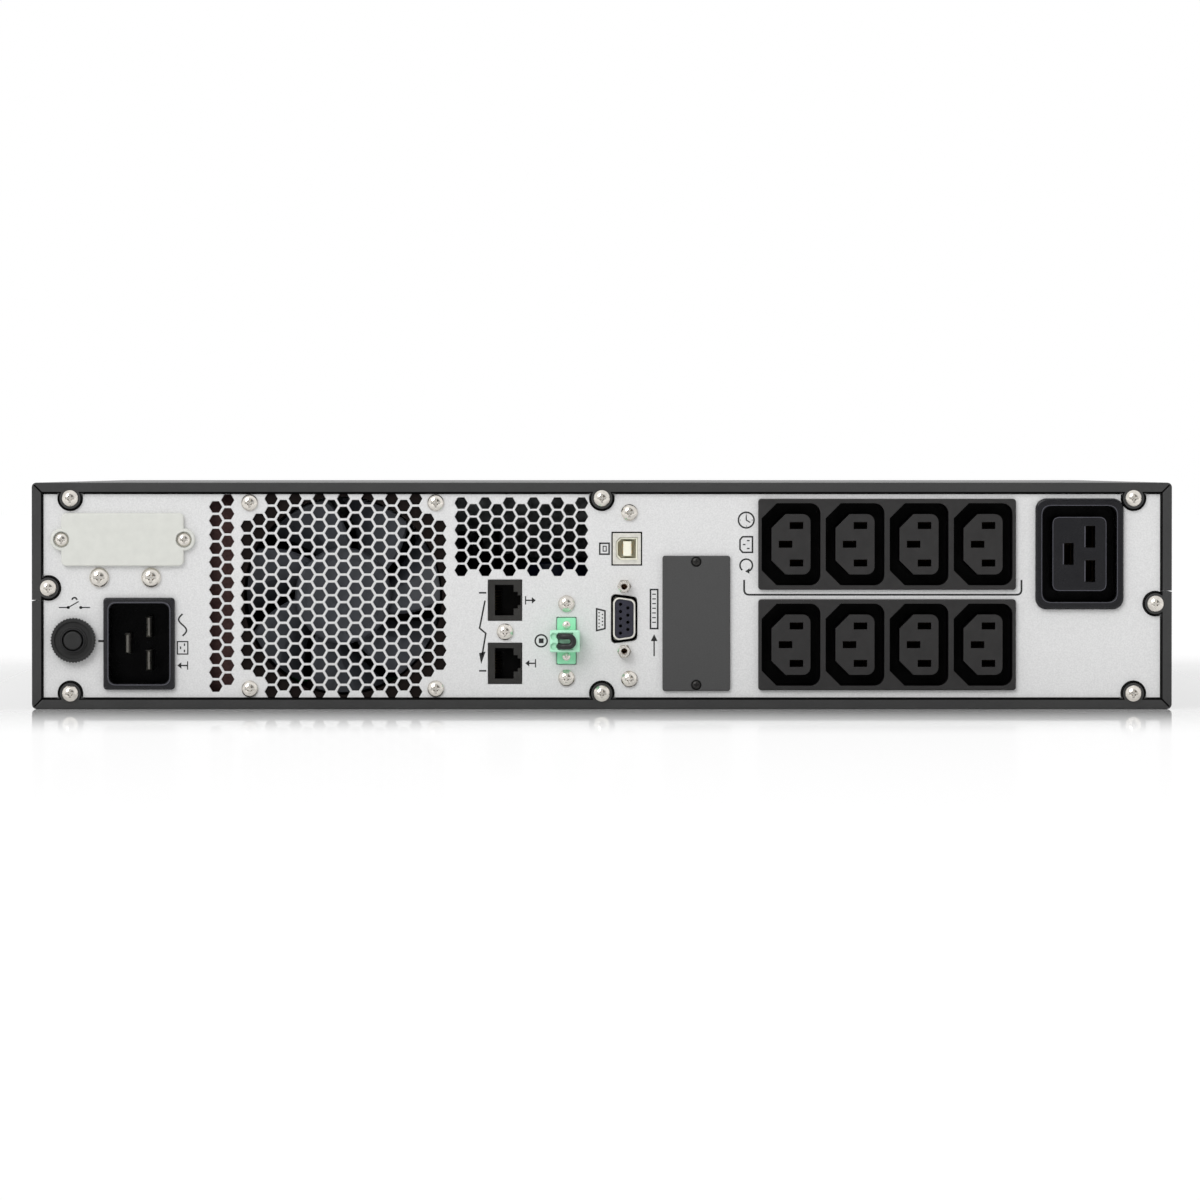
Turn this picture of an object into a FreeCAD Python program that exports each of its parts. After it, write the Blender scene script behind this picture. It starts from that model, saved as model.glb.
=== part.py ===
"""Rack-mount uninterruptible power supply, two rack units high, as a parametric FreeCAD document.

Millimetres. +Z is up and +X is to the right when the rear panel is looked at square on. The rear panel
faces -Y and the front bezel faces +Y. The origin is on the underside, in the middle of the case.
"""
import FreeCAD
import Part
import Sketcher

import math
import os
import re
from types import SimpleNamespace

V = FreeCAD.Vector

DIMENSIONS = (
    # Case
    ("case_w", 438, "width over the covers"),
    ("case_h", 87, "height over the covers"),
    ("rear_y", -300, "rear face of the covers' folded rim"),
    ("shell_front", 270, "front edge of the covers"),
    ("bezel_front", 300, "front face of the bezels"),
    ("wall", 1.2, "sheet steel"),
    ("bend_r", 1.8, "outside bend radius of the covers"),
    ("rim", 4, "width of the folded rear rim"),
    ("tab_r", 4.5, "radius of the round screw tabs"),
    ("tab_x", 204.3, "outer screw tabs, from the centre line"),
    ("tab_inset", 6, "screw tabs, from the cover's flat face"),
    ("side_tab_x", 212.7, "side screw tab, from the centre line"),
    ("side_tab_rise", 3, "side screw tab, above half height"),
    ("seam_rise", 1.8, "stagger of the side seams about half height"),
    ("seam_gap", 0.4, "gap between the covers"),
    ("ear_y", 239.5, "rack ear holes, middle of the pattern"),
    ("ear_pitch_y", 35, "rack ear holes, along the case"),
    ("ear_pitch_z", 60, "rack ear holes, up the case"),
    ("ear_hole_r", 2, "rack ear hole radius"),
    ("side_slot_y", 110, "first side vent slot"),
    ("side_slot_z", 66, "middle of the side vent slots"),
    ("side_slot_len", 26, "side vent slot length"),
    ("side_slot_w", 2.6, "side vent slot width"),
    ("side_slot_pitch", 6, "side vent slot spacing"),
    # Rear panel
    ("panel_w", 434.6, "rear panel width"),
    ("panel_h", 84, "rear panel height"),
    ("panel_y", -298.8, "outer face of the rear panel"),
    ("hex_af", 4.4, "vent hexagon across flats"),
    ("hex_pitch", 5.3, "vent hexagon spacing in a column"),
    ("hex_column", 4.63, "vent column spacing"),
    ("aux_hex_pitch", 5.17, "spacing in a column of the small vent"),
    ("fan_vent_x", -99.3, "middle of the fan vent"),
    ("fan_vent_z", 43.7, "middle of the fan vent"),
    ("side_vent_x", -148.4, "first column of the two-column vent"),
    ("side_vent_z", 43.2, "middle of that column"),
    ("aux_vent_x", -30.9, "middle of the small vent"),
    ("aux_vent_z", 66.2, "middle of the small vent"),
    # Fan
    ("fan_x", -99.6, "fan axis"),
    ("fan_z", 43.5, "fan axis"),
    ("fan_size", 80, "fan frame side"),
    ("fan_pitch", 71.5, "fan screw spacing"),
    ("fan_depth", 25.4, "fan frame depth"),
    ("fan_bore_r", 38.2, "fan frame bore"),
    ("blade_r", 37.3, "fan blade tip radius"),
    ("hub_r", 18.5, "fan hub radius"),
    # Breaker
    ("breaker_x", -203.1, "breaker axis"),
    ("breaker_z", 26.4, "breaker axis"),
    ("nut_r", 8.7, "knurled ring nut"),
    ("bush_r", 4.6, "breaker bushing"),
    ("button_r", 3.5, "breaker reset button"),
    # Mains inlet
    ("inlet_x", -177.8, "inlet centre"),
    ("inlet_z", 25.1, "inlet centre"),
    ("inlet_w", 27.5, "inlet flange width"),
    ("inlet_h", 35.4, "inlet flange height"),
    ("inlet_hole_w", 23.2, "inlet cavity width"),
    ("inlet_hole_h", 31, "inlet cavity height"),
    ("inlet_deep", 20, "inlet cavity depth"),
    # Outlets
    ("block_x", 109.6, "outlet blocks, centre"),
    ("block_upper_z", 63.3, "upper outlet block, centre"),
    ("block_lower_z", 24.7, "lower outlet block, centre"),
    ("block_w", 99, "outlet block width"),
    ("block_h", 35, "outlet block height"),
    ("outlet_pitch", 24.6, "outlet spacing"),
    ("well_w", 22.6, "outlet well width"),
    ("well_h", 31.6, "outlet well height"),
    ("core_w", 15, "outlet core width"),
    ("core_h", 23.2, "outlet core height"),
    ("well_deep", 18, "outlet well depth"),
    ("big_x", 183.5, "large outlet centre"),
    ("big_z", 59.6, "large outlet centre"),
    ("big_w", 33.9, "large outlet flange width"),
    ("big_h", 42.7, "large outlet flange height"),
    ("big_well_w", 28.6, "large outlet well width"),
    ("big_well_h", 36.9, "large outlet well height"),
    ("big_core_w", 20.8, "large outlet core width"),
    ("big_core_h", 28.5, "large outlet core height"),
    # Signal connectors
    ("jack_x", -37.2, "surge jacks"),
    ("jack_mid_z", 29.65, "halfway between the surge jacks"),
    ("jack_rise", 12.15, "surge jacks, above and below"),
    ("jack_w", 12.8, "surge jack width"),
    ("jack_h", 15.5, "surge jack height"),
    ("epo_x", -13.6, "emergency-off connector"),
    ("epo_z", 26.2, "emergency-off connector"),
    ("usb_x", 9.6, "data port centre"),
    ("usb_z", 61.6, "data port centre"),
    ("serial_x", 8.6, "serial port centre"),
    ("serial_z", 34.7, "serial port centre"),
    ("jackscrew_rise", 12.5, "jackscrews, above and below the serial port"),
    ("slot_x", 36.3, "card slot cover centre"),
    ("slot_z", 32.9, "card slot cover centre"),
    ("slot_w", 26, "card slot cover width"),
    ("slot_h", 52, "card slot cover height"),
    ("slot_screw_rise", 23.7, "card slot cover screws"),
    ("term_x", -184.1, "battery terminal cover centre"),
    ("term_z", 65.1, "battery terminal cover centre"),
    ("term_w", 47.1, "battery terminal cover width"),
    ("term_h", 20.4, "battery terminal cover height"),
    ("term_ear_r", 4.3, "battery terminal cover ears"),
    # Battery bay
    ("bay_left", -204.5, "battery tray, left side"),
    ("bay_right", 96.5, "battery tray, right side"),
    ("tray_rear", -40, "battery tray, rear wall"),
    ("tray_front", 270.4, "battery tray, front face"),
    ("tray_floor", 6, "underside of the battery tray"),
    ("divider_x", 102, "battery bay side wall"),
    ("divider_y", -48, "battery bay rear wall"),
    ("frame_y", 268.4, "rear face of the front frame"),
    ("cell_case", 88, "battery case without its lid"),
    ("cell_lid", 6, "battery lid"),
    ("cell_long", 151, "battery length"),
    ("cell_thick", 65, "battery thickness"),
    ("plug_x", -54, "battery plug"),
    ("plug_z", 42, "battery plug"),
    # Front
    ("split_x", 110.8, "gap between the drawer front and the control bezel"),
    ("bezel_wall", 2.5, "bezel moulding"),
    ("thumb_left_x", -211.3, "left thumbscrew"),
    ("thumb_right_x", 103, "right thumbscrew"),
    ("mid_z", 43.5, "half height"),
    ("dial_x", 165, "display axis"),
    ("dial_r", 36, "display disc radius"),
    ("dial_front", 302, "display face"),
    ("dial_spigot_r", 12, "display spigot radius"),
    ("window_w", 48, "display window width"),
    ("window_h", 26, "display window height"),
    ("window_rise", 7, "display window, above the axis"),
    ("key_drop", 17, "keys, below the display axis"),
    ("key_pitch", 15, "key spacing"),
    ("key_r", 4, "key radius"),
)

PANEL_CUTOUTS = (
    # x, z, width, height
    ("inlet_x", "inlet_z", "inlet_w - 1.2", "inlet_h - 1.4"),
    ("block_x", "block_upper_z", "block_w - 0.8", "block_h - 0.8"),
    ("block_x", "block_lower_z", "block_w - 0.8", "block_h - 0.8"),
    ("big_x", "big_z", "big_w - 2.4", "big_h - 2.4"),
    ("jack_x", "jack_mid_z + jack_rise", "jack_w + 0.4", "jack_h + 0.4"),
    ("jack_x", "jack_mid_z - jack_rise", "jack_w + 0.4", "jack_h + 0.4"),
    ("epo_x", "epo_z", "7.6", "18.2"),
    ("usb_x", "usb_z", "11.6", "12.7"),
    ("slot_x", "slot_z", "slot_w - 4", "slot_h - 10"),
    ("term_x", "term_z", "36", "15"),
)

doc = FreeCAD.newDocument("rack_ups")
sheet = doc.addObject("Spreadsheet::Sheet", "dims")
for row, (alias, size, meaning) in enumerate(DIMENSIONS, 1):
    sheet.set(f"A{row}", meaning)
    sheet.set(f"B{row}", str(size))
    sheet.setAlias(f"B{row}", alias)
doc.recompute()
d = SimpleNamespace(**{alias: float(sheet.get(alias)) for alias, _, _ in DIMENSIONS})
ALIASES = re.compile(r"\b(" + "|".join(alias for alias, _, _ in DIMENSIONS) + r")\b")
SUBPARTS = []


# Helpers ------------------------------------------------------------------------------------------


def on_sheet(text):
    """An expression in the sheet's aliases, with each alias pointed at the sheet."""
    return ALIASES.sub(r"dims.\1", str(text))


def bind(item, **sizes):
    for name, text in sizes.items():
        item.setExpression(name, on_sheet(text))


def place(item, x=0, y=0, z=0, turn=None):
    if turn:
        item.Placement = FreeCAD.Placement(V(), turn)
    for axis, text in zip("xyz", (x, y, z)):
        item.setExpression(f"Placement.Base.{axis}", on_sheet(text))
    return item


def keep(item, label):
    """Marks a document object as a sub-part of the product."""
    item.Label = label
    SUBPARTS.append(item)
    return item


def block(x, y, z):
    """A box from a (low, high) pair of expressions on each axis."""
    item = doc.addObject("Part::Box", "block")
    bind(item, Length=f"({x[1]}) - ({x[0]})", Width=f"({y[1]}) - ({y[0]})", Height=f"({z[1]}) - ({z[0]})")
    return place(item, x[0], y[0], z[0])


def rod(radius, y, x=0, z=0):
    """A cylinder along Y between a (low, high) pair of expressions."""
    item = doc.addObject("Part::Cylinder", "rod")
    bind(item, Radius=radius, Height=f"({y[1]}) - ({y[0]})")
    return place(item, x, y[0], z, FreeCAD.Rotation(V(1, 0, 0), -90))


def post(radius, z, x=0, y=0):
    """A cylinder along Z between a (low, high) pair of expressions."""
    item = doc.addObject("Part::Cylinder", "post")
    bind(item, Radius=radius, Height=f"({z[1]}) - ({z[0]})")
    return place(item, x, y, z[0])


def fused(*items):
    if len(items) == 1:
        return items[0]
    item = doc.addObject("Part::MultiFuse", "fused")
    item.Shapes = list(items)
    return item


def cut(base, *tools):
    item = doc.addObject("Part::Cut", "cut")
    item.Base = base
    item.Tool = fused(*tools)
    return item


def several(*items):
    """Separate solids that make one node."""
    item = doc.addObject("Part::Compound", "several")
    item.Links = list(items)
    return item


def made(shape, label):
    """A sub-part whose shape comes straight from Part's own functions."""
    item = doc.addObject("Part::Feature", label)
    item.Shape = shape
    return keep(item, label)


def edge_names(shape, wanted):
    return [f"Edge{n}" for n, edge in enumerate(shape.Edges, 1) if wanted(edge)]


def runs_along(edge, axis):
    """True for a straight edge parallel to an axis."""
    if edge.Curve.TypeId != "Part::GeomLine":
        return False
    return abs(abs(edge.Curve.Direction.dot(axis)) - 1) < 1e-6


def eased(item, radius, wanted):
    """Part fillet on the edges that the test picks."""
    doc.recompute()
    item_fillet = doc.addObject("Part::Fillet", "eased")
    item_fillet.Base = item
    numbers = [n for n, edge in enumerate(item.Shape.Edges, 1) if wanted(edge)]
    item_fillet.Edges = [(n, radius, radius) for n in numbers]
    return item_fillet


def new_body(label):
    return keep(doc.addObject("PartDesign::Body", label), label)


def sketch_on(body, at="0", role="XZ_Plane"):
    """A sketch on the body's own plane, moved along that plane's axis to a coordinate."""
    item = body.newObject("Sketcher::SketchObject", "sketch")
    item.AttachmentSupport = [(next(f for f in body.Origin.OriginFeatures if f.Role == role), "")]
    item.MapMode = "FlatFace"
    sign = "-" if role == "XZ_Plane" else ""
    item.setExpression("AttachmentOffset.Base.z", on_sheet(f"{sign}({at})"))
    return item


def rect(item, x, z, width, height):
    """A rectangle about a centre, held to the sheet by four dimensions."""
    first = len(item.Geometry)
    ends = [V(-1, -1, 0), V(1, -1, 0), V(1, 1, 0), V(-1, 1, 0)]
    item.addGeometry([Part.LineSegment(ends[k], ends[(k + 1) % 4]) for k in range(4)], False)
    make = Sketcher.Constraint
    shape = [make("Coincident", first + k, 2, first + (k + 1) % 4, 1) for k in range(4)]
    shape += [make("Horizontal", first), make("Horizontal", first + 2)]
    shape += [make("Vertical", first + 1), make("Vertical", first + 3)]
    item.addConstraint(shape)
    for kind, ends_of, size in (
        ("DistanceX", (first, 1, first, 2, 2.0), width),
        ("DistanceY", (first + 1, 1, first + 1, 2, 2.0), height),
        ("DistanceX", (-1, 1, first, 1, -1.0), f"({x}) - ({width}) / 2"),
        ("DistanceY", (-1, 1, first, 1, -1.0), f"({z}) - ({height}) / 2"),
    ):
        number = item.addConstraint(make(kind, *ends_of))
        item.setExpression(f"Constraints[{number}]", on_sheet(size))


def circle(item, x, z, radius):
    first = len(item.Geometry)
    item.addGeometry(Part.Circle(V(1, 1, 0), V(0, 0, 1), 1), False)
    make = Sketcher.Constraint
    for kind, ends_of, size in (
        ("Radius", (first, 1.0), radius),
        ("DistanceX", (-1, 1, first, 3, 1.0), x),
        ("DistanceY", (-1, 1, first, 3, 1.0), z),
    ):
        number = item.addConstraint(make(kind, *ends_of))
        item.setExpression(f"Constraints[{number}]", on_sheet(size))


def outline(corners):
    """A closed outline of lines from (x, z) or (x, z, radius) corners, with an arc at each rounded one."""
    bends = []
    for k, corner in enumerate(corners):
        here = V(corner[0], corner[1], 0)
        radius = corner[2] if len(corner) > 2 else 0
        back = V(*corners[k - 1][:2], 0) - here
        ahead = V(*corners[(k + 1) % len(corners)][:2], 0) - here
        back.normalize()
        ahead.normalize()
        half = back.getAngle(ahead) / 2
        trim = radius / math.tan(half)
        inward = (back + ahead).normalize() * (radius / math.sin(half) - radius)
        bends.append((here + back * trim, here + inward, here + ahead * trim))
    curves = []
    for k, (start, top, end) in enumerate(bends):
        if start.distanceToPoint(end) > 1e-6:
            curves.append(Part.Arc(start, top, end))
        after = bends[(k + 1) % len(bends)][0]
        if end.distanceToPoint(after) > 1e-6:
            curves.append(Part.LineSegment(end, after))
    return curves


def box_corners(x, z, width, height, radius=0):
    w, h = width / 2, height / 2
    return [(x + a * w, z + b * h, radius) for a, b in ((-1, -1), (1, -1), (1, 1), (-1, 1))]


def plug_corners(x, z, width, height, chamfer, radius):
    """The outline of a keyed mains connector: chamfered on the earth side, rounded on the other."""
    left, right, low, high = x - width / 2, x + width / 2, z - height / 2, z + height / 2
    return [
        (left + chamfer, low),
        (right, low, radius),
        (right, high, radius),
        (left + chamfer, high),
        (left, high - chamfer),
        (left, low + chamfer),
    ]


def d_corners(x, z, width, height, taper, radius):
    """A D-shaped connector outline, taller on the left."""
    left, right = x - width / 2, x + width / 2
    tall, short = height / 2, height / 2 - taper
    return [
        (left, z - tall, radius),
        (right, z - short, radius),
        (right, z + short, radius),
        (left, z + tall, radius),
    ]


def toothed_corners(radius, depth, teeth):
    """A knurled circle: two corners for each tooth."""
    step = math.pi / teeth
    reach = [(radius if k % 2 == 0 else radius - depth, k * step) for k in range(2 * teeth)]
    return [(r * math.cos(a), r * math.sin(a)) for r, a in reach]


def draw(item, *outlines):
    for corners in outlines:
        item.addGeometry(outline(corners), False)
    return item


def solid_of(corners, low, high):
    """A prism along Y from an outline in X and Z."""
    wire = Part.Wire([curve.toShape() for curve in outline(corners)])
    face = Part.Face(wire)
    prism = face.extrude(V(0, 0, low - high))
    prism.rotate(V(), V(1, 0, 0), 90)
    prism.translate(V(0, low, 0))
    return prism


def grow(body, item, length, inward=False):
    """Pads a sketch: towards -Y from the rear plane, or towards +Y when inward."""
    feature = body.newObject("PartDesign::Pad", "pad")
    feature.Profile = item
    feature.Reversed = inward
    bind(feature, Length=length)
    doc.recompute()
    return feature


def sink(body, item, length, inward=True):
    """Pockets a sketch: towards +Y, or towards -Y when not inward. It has to remove something."""
    feature = pocket(body, item)
    feature.Reversed = not inward
    bind(feature, Length=length)
    return proven(body, feature)


def sink_through(body, item):
    """Pockets a sketch through everything, both ways."""
    feature = pocket(body, item)
    feature.Type = 1
    feature.Midplane = True
    return proven(body, feature)


def pocket(body, item):
    feature = body.newObject("PartDesign::Pocket", "pocket")
    feature.Profile = item
    return feature


def proven(body, feature):
    """Recomputes a pocket and makes sure that it removes something."""
    doc.recompute()
    before = feature.BaseFeature.Shape.Volume
    if feature.Shape.Volume > before - 1e-3:
        raise RuntimeError(f"a pocket in {body.Label} cuts nothing")
    return feature


def repeat(body, features, item, axis, length, count):
    feature = body.newObject("PartDesign::LinearPattern", "row")
    feature.Originals = list(features)
    feature.Direction = (item, [axis])
    bind(feature, Length=length)
    feature.Occurrences = count
    body.Tip = feature
    doc.recompute()
    return feature


def soften(body, radius, wanted):
    """PartDesign fillet on the edges of the tip that the test picks."""
    tip = body.Tip
    feature = body.newObject("PartDesign::Fillet", "fillet")
    feature.Base = (tip, edge_names(tip.Shape, wanted))
    feature.Radius = radius
    doc.recompute()
    return feature


def copies(shape, places):
    """A compound of one shape moved to each (x, y, z)."""
    solids = []
    for spot in places:
        solid = shape.copy()
        solid.translate(V(*spot))
        solids.append(solid)
    return Part.makeCompound(solids)


def pan_screw(head_r, head_h, shank_r, length):
    """A pan-head cross-recess screw with its head towards -Y and its seat at y = 0."""
    crown = Part.Arc(V(0, -head_h, 0), V(head_r * 0.62, -head_h * 0.86, 0), V(head_r, -head_h * 0.35, 0))
    path = [V(head_r, -head_h * 0.35, 0), V(head_r, 0, 0), V(shank_r, 0, 0), V(shank_r, length - 0.6, 0)]
    path += [V(shank_r - 0.5, length, 0), V(0, length, 0), V(0, -head_h, 0)]
    edges = [crown.toShape()] + [Part.makeLine(a, b) for a, b in zip(path, path[1:])]
    body = Part.Face(Part.Wire(edges)).revolve(V(), V(0, 1, 0), 360)
    arm, slot, deep = head_r * 0.56, head_r * 0.14, head_h * 0.8
    for long, wide in ((arm, slot), (slot, arm)):
        body = body.cut(Part.makeBox(2 * long, deep + 1, 2 * wide, V(-long, -head_h - 1, -wide)))
    return body.cut(Part.makeCone(head_r * 0.36, 0, deep + 0.3, V(0, -head_h - 0.1, 0), V(0, 1, 0)))


# Case ---------------------------------------------------------------------------------------------


def cover(label):
    """One folded cover. The lower cover is the same pressing turned half a turn about the long axis."""
    body = new_body(label)
    half, top = d.case_w / 2, d.case_h
    low_left = d.mid_z - d.seam_rise + d.seam_gap / 2
    low_right = d.mid_z + d.seam_rise + d.seam_gap / 2

    def channel(thick, inner_r):
        return [
            (-half, low_left),
            (-half, top, d.bend_r),
            (half, top, d.bend_r),
            (half, low_right),
            (half - thick, low_right),
            (half - thick, top - thick, inner_r),
            (-half + thick, top - thick, inner_r),
            (-half + thick, low_left),
        ]

    folded = draw(sketch_on(body, "rear_y"), channel(d.wall, d.bend_r - d.wall))
    grow(body, folded, "shell_front - rear_y", inward=True)
    grow(body, draw(sketch_on(body, "rear_y"), channel(d.rim, 0)), "wall", inward=True)

    tabs = [(f"{sign} * tab_x", "case_h - tab_inset") for sign in (-1, 1)]
    tabs += [("0", "case_h - tab_inset"), ("-side_tab_x", "mid_z + side_tab_rise")]
    lugs, holes = sketch_on(body, "rear_y"), sketch_on(body, "rear_y")
    for x, z in tabs:
        circle(lugs, x, z, "tab_r")
        circle(holes, x, z, "1.8")
    grow(body, lugs, "wall", inward=True)

    def tab_root(edge):
        corner = edge.CenterOfMass
        if not runs_along(edge, V(0, 1, 0)) or edge.Length > 2 * d.wall:
            return False
        above = abs(corner.z - (top - d.rim)) < 0.01 and abs(corner.x) < half - 2 * d.rim
        beside = abs(corner.x + half - d.rim) < 0.01 and 0 < corner.z - d.mid_z - d.side_tab_rise < 9
        return above or beside

    soften(body, 1.2, tab_root)
    sink(body, holes, "wall")

    mitre = sketch_on(body, "rear_y")
    for side in (-1, 1):
        outer, inner, slit = half - 1.3, half - d.rim - 0.5, 0.28
        draw(mitre, [
            (side * outer, top - 1.3 + slit),
            (side * (outer + slit), top - 1.3),
            (side * inner, top - d.rim - 0.5 - slit),
            (side * (inner - slit), top - d.rim - 0.5),
        ])
    sink(body, mitre, "wall * 0.55")

    ears = sketch_on(body, "0", "YZ_Plane")
    for side in (-1, 1):
        circle(ears, f"ear_y + {side} * ear_pitch_y / 2", "mid_z + ear_pitch_z / 2", "ear_hole_r")
    sink_through(body, ears)
    slot = sketch_on(body, "0", "YZ_Plane")
    draw(slot, box_corners(d.side_slot_y, d.side_slot_z, d.side_slot_w, d.side_slot_len, 1.2))
    first = sink_through(body, slot)
    repeat(body, [first], slot, "H_Axis", "13 * side_slot_pitch", 14)
    return body


def hexagon(x, z, across):
    reach = across / math.sqrt(3)
    turns = [math.radians(60 * k) for k in range(6)]
    return [(x + reach * math.cos(a), z + reach * math.sin(a)) for a in turns]


def vent_columns(x, z, counts, pitch):
    """Hexagon centres, column by column, each column centred on z."""
    first = x - (len(counts) - 1) / 2 * d.hex_column
    return [
        (first + n * d.hex_column, z + (k - (count - 1) / 2) * pitch)
        for n, count in enumerate(counts)
        for k in range(count)
    ]


def vent_centres():
    fan = [11, 12] + [15, 14] * 6 + [15, 12, 11]
    centres = vent_columns(d.fan_vent_x, d.fan_vent_z, fan, d.hex_pitch)
    centres += vent_columns(d.aux_vent_x, d.aux_vent_z, [6, 5] * 5 + [6], d.aux_hex_pitch)
    for n in range(2):
        centres += vent_columns(
            d.side_vent_x + n * d.hex_column, d.side_vent_z + n * d.hex_pitch / 2, [14], d.hex_pitch
        )
    return centres


def rear_panel():
    body = new_body("rear_panel")
    plate = sketch_on(body, "panel_y")
    rect(plate, "0", "mid_z", "panel_w", "panel_h")
    draw(plate, *[hexagon(x, z, d.hex_af) for x, z in vent_centres()])
    grow(body, plate, "wall", inward=True)
    holes = draw(sketch_on(body, "panel_y"), d_corners(d.serial_x, d.serial_z, 10, 19.4, 1.4, 1.6))
    for spot in PANEL_CUTOUTS:
        rect(holes, *spot)
    circle(holes, "breaker_x", "breaker_z", "bush_r + 0.2")
    for x, z in screw_spots("cover") + screw_spots("panel") + screw_spots("terminal"):
        circle(holes, x, z, "1.6")
    for x, z in screw_spots("stout") + screw_spots("fan"):
        circle(holes, x, z, "2.1")
    for side in (-1, 1):
        circle(holes, "serial_x", f"serial_z + {side} * jackscrew_rise", "1.7")
        circle(holes, "slot_x", f"slot_z + {side} * slot_screw_rise", "1.1")
    sink(body, holes, "wall")
    return body


def screw_spots(kind):
    """(x, z) expressions of each family of rear screws."""
    pair = (-1, 1)
    if kind == "cover":
        spots = [(f"{s} * tab_x", "tab_inset") for s in pair] + [("0", "tab_inset")]
        spots += [(x, "case_h - tab_inset") for x, _ in spots]
        return spots + [(f"{s} * side_tab_x", f"mid_z - {s} * side_tab_rise") for s in pair]
    if kind == "fan":
        return [(f"fan_x + {a} * fan_pitch / 2", f"fan_z + {b} * fan_pitch / 2") for a in pair for b in pair]
    if kind == "terminal":
        return [(f"term_x + {s} * term_w / 2", "term_z") for s in pair]
    if kind == "stout":
        return [(f"term_x + 0.9 + {s} * 9.95", "term_z - 14.6") for s in pair]
    spots = [("jack_x", "jack_mid_z")]
    spots += [("epo_x", f"epo_z + {s} * 14.3") for s in pair]
    return spots + [("usb_x + 1", f"mid_z + {s} * 32") for s in pair]


def spots_xyz(kind, y):
    return [(sheet.evalExpression(on_sheet(x)), y, sheet.evalExpression(on_sheet(z)))
            for x, z in screw_spots(kind)]


def rear_screws():
    small = pan_screw(3.1, 2.0, 1.45, 7)
    made(copies(small, spots_xyz("cover", d.rear_y)), "cover_screws")
    made(copies(pan_screw(3.2, 2.0, 1.9, 12), spots_xyz("fan", d.panel_y)), "fan_screws")
    small = pan_screw(2.65, 1.7, 1.45, 8)
    made(copies(small, spots_xyz("terminal", d.panel_y - 0.8)), "terminal_cover_screws")
    panel = copies(pan_screw(3.2, 2.1, 1.45, 7), spots_xyz("panel", d.panel_y))
    stout = copies(pan_screw(3.8, 2.5, 1.9, 8), spots_xyz("stout", d.panel_y))
    made(Part.makeCompound(panel.Solids + stout.Solids), "panel_screws")


def front_frame():
    """Pressed plate behind the bezels, with the drawer opening and top and bottom flanges."""
    body = new_body("front_frame")
    plate = sketch_on(body, "frame_y")
    rect(plate, "0", "mid_z", "panel_w", "panel_h")
    grow(body, plate, "wall", inward=True)
    flanges = sketch_on(body, "frame_y")
    for side in (-1, 1):
        rect(flanges, "0", f"mid_z + {side} * (panel_h - wall) / 2", "panel_w", "wall")
    grow(body, flanges, "10")
    windows = sketch_on(body, "frame_y")
    rect(windows, "(bay_left + bay_right) / 2", "mid_z", "bay_right - bay_left + 2", "panel_h - 8")
    rect(windows, "dial_x", "mid_z", "64", "40")
    sink(body, windows, "wall")
    holes = sketch_on(body, "frame_y")
    circle(holes, "thumb_left_x", "mid_z", "2.1")
    circle(holes, "thumb_right_x", "mid_z", "2.1")
    sink(body, holes, "wall")


def battery_bay():
    """The L-shaped bay wall, and the two glide rails under the tray."""
    upright = ("1.5", "case_h - 1.5")
    side = block(("divider_x", "divider_x + wall"), ("divider_y", "258"), upright)
    rear = block(("-case_w / 2 + 1.6", "divider_x"), ("divider_y", "divider_y + wall"), upright)
    window = block(("plug_x - 19", "plug_x + 19"), ("divider_y - 1", "divider_y + 3"),
                   ("plug_z - 11", "plug_z + 11"))
    vents = [
        block((f"-180 + {n} * 12", f"-176 + {n} * 12"), ("divider_y - 1", "divider_y + 3"), ("30", "70"))
        for n in range(8)
    ]
    keep(cut(fused(side, rear), window, *vents), "bay_divider")
    rails = [
        block((x, f"{x} + 10"), ("-35", "255"), ("wall", "tray_floor - 0.1"))
        for x in ("bay_left + 10", "bay_right - 20")
    ]
    keep(several(*rails), "bay_rails")


SMALL_SLOTS = ((2.1, 7.2), (2.1, -7.2), (-2.1, 0))
BIG_SLOTS = ((4.2, 6.6), (4.2, -6.6), (-4.1, 0))


# Rear connectors: each body is drawn about its own centre, with y = 0 on the panel's outer face -----


def flanged_body(label, flange, proud, neck, depth, radius):
    """A moulding with a flange on the panel and a neck through it."""
    body = new_body(label)
    grow(body, draw(sketch_on(body), box_corners(0, 0, *flange, radius)), proud)
    grow(body, draw(sketch_on(body), box_corners(0, 0, *neck, max(radius - 1, 0))), depth, inward=True)
    return body


def front_rim(y):
    """Picks every edge lying in the plane at y."""
    return lambda edge: abs(edge.BoundBox.YMin - y) < 1e-4 and abs(edge.BoundBox.YMax - y) < 1e-4


def outlet_block(label, z):
    """Four mains outlets in one moulding: a keyed well with a slotted core in each."""
    proud = 1.8
    body = flanged_body(label, (d.block_w, d.block_h), proud, (d.block_w - 1.2, d.block_h - 1.2), 27, 1.2)
    soften(body, 0.5, front_rim(-proud))
    first = -1.5 * d.outlet_pitch
    well = draw(
        sketch_on(body, -proud),
        plug_corners(first, 0, d.well_w, d.well_h, 5.8, 4),
        plug_corners(first, 0, d.core_w, d.core_h, 5.4, 3),
    )
    face = draw(sketch_on(body, -proud), plug_corners(first, 0, d.core_w + 1, d.core_h + 1, 5.4, 3))
    slots = sketch_on(body, -proud)
    for x, rise in SMALL_SLOTS:
        draw(slots, box_corners(first + x, rise, 5.2, 2.7))
    pockets = [sink(body, well, d.well_deep), sink(body, face, 0.9), sink(body, slots, 30)]
    repeat(body, pockets, well, "H_Axis", "3 * outlet_pitch", 4)
    place(body, "block_x", "panel_y", z)


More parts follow.
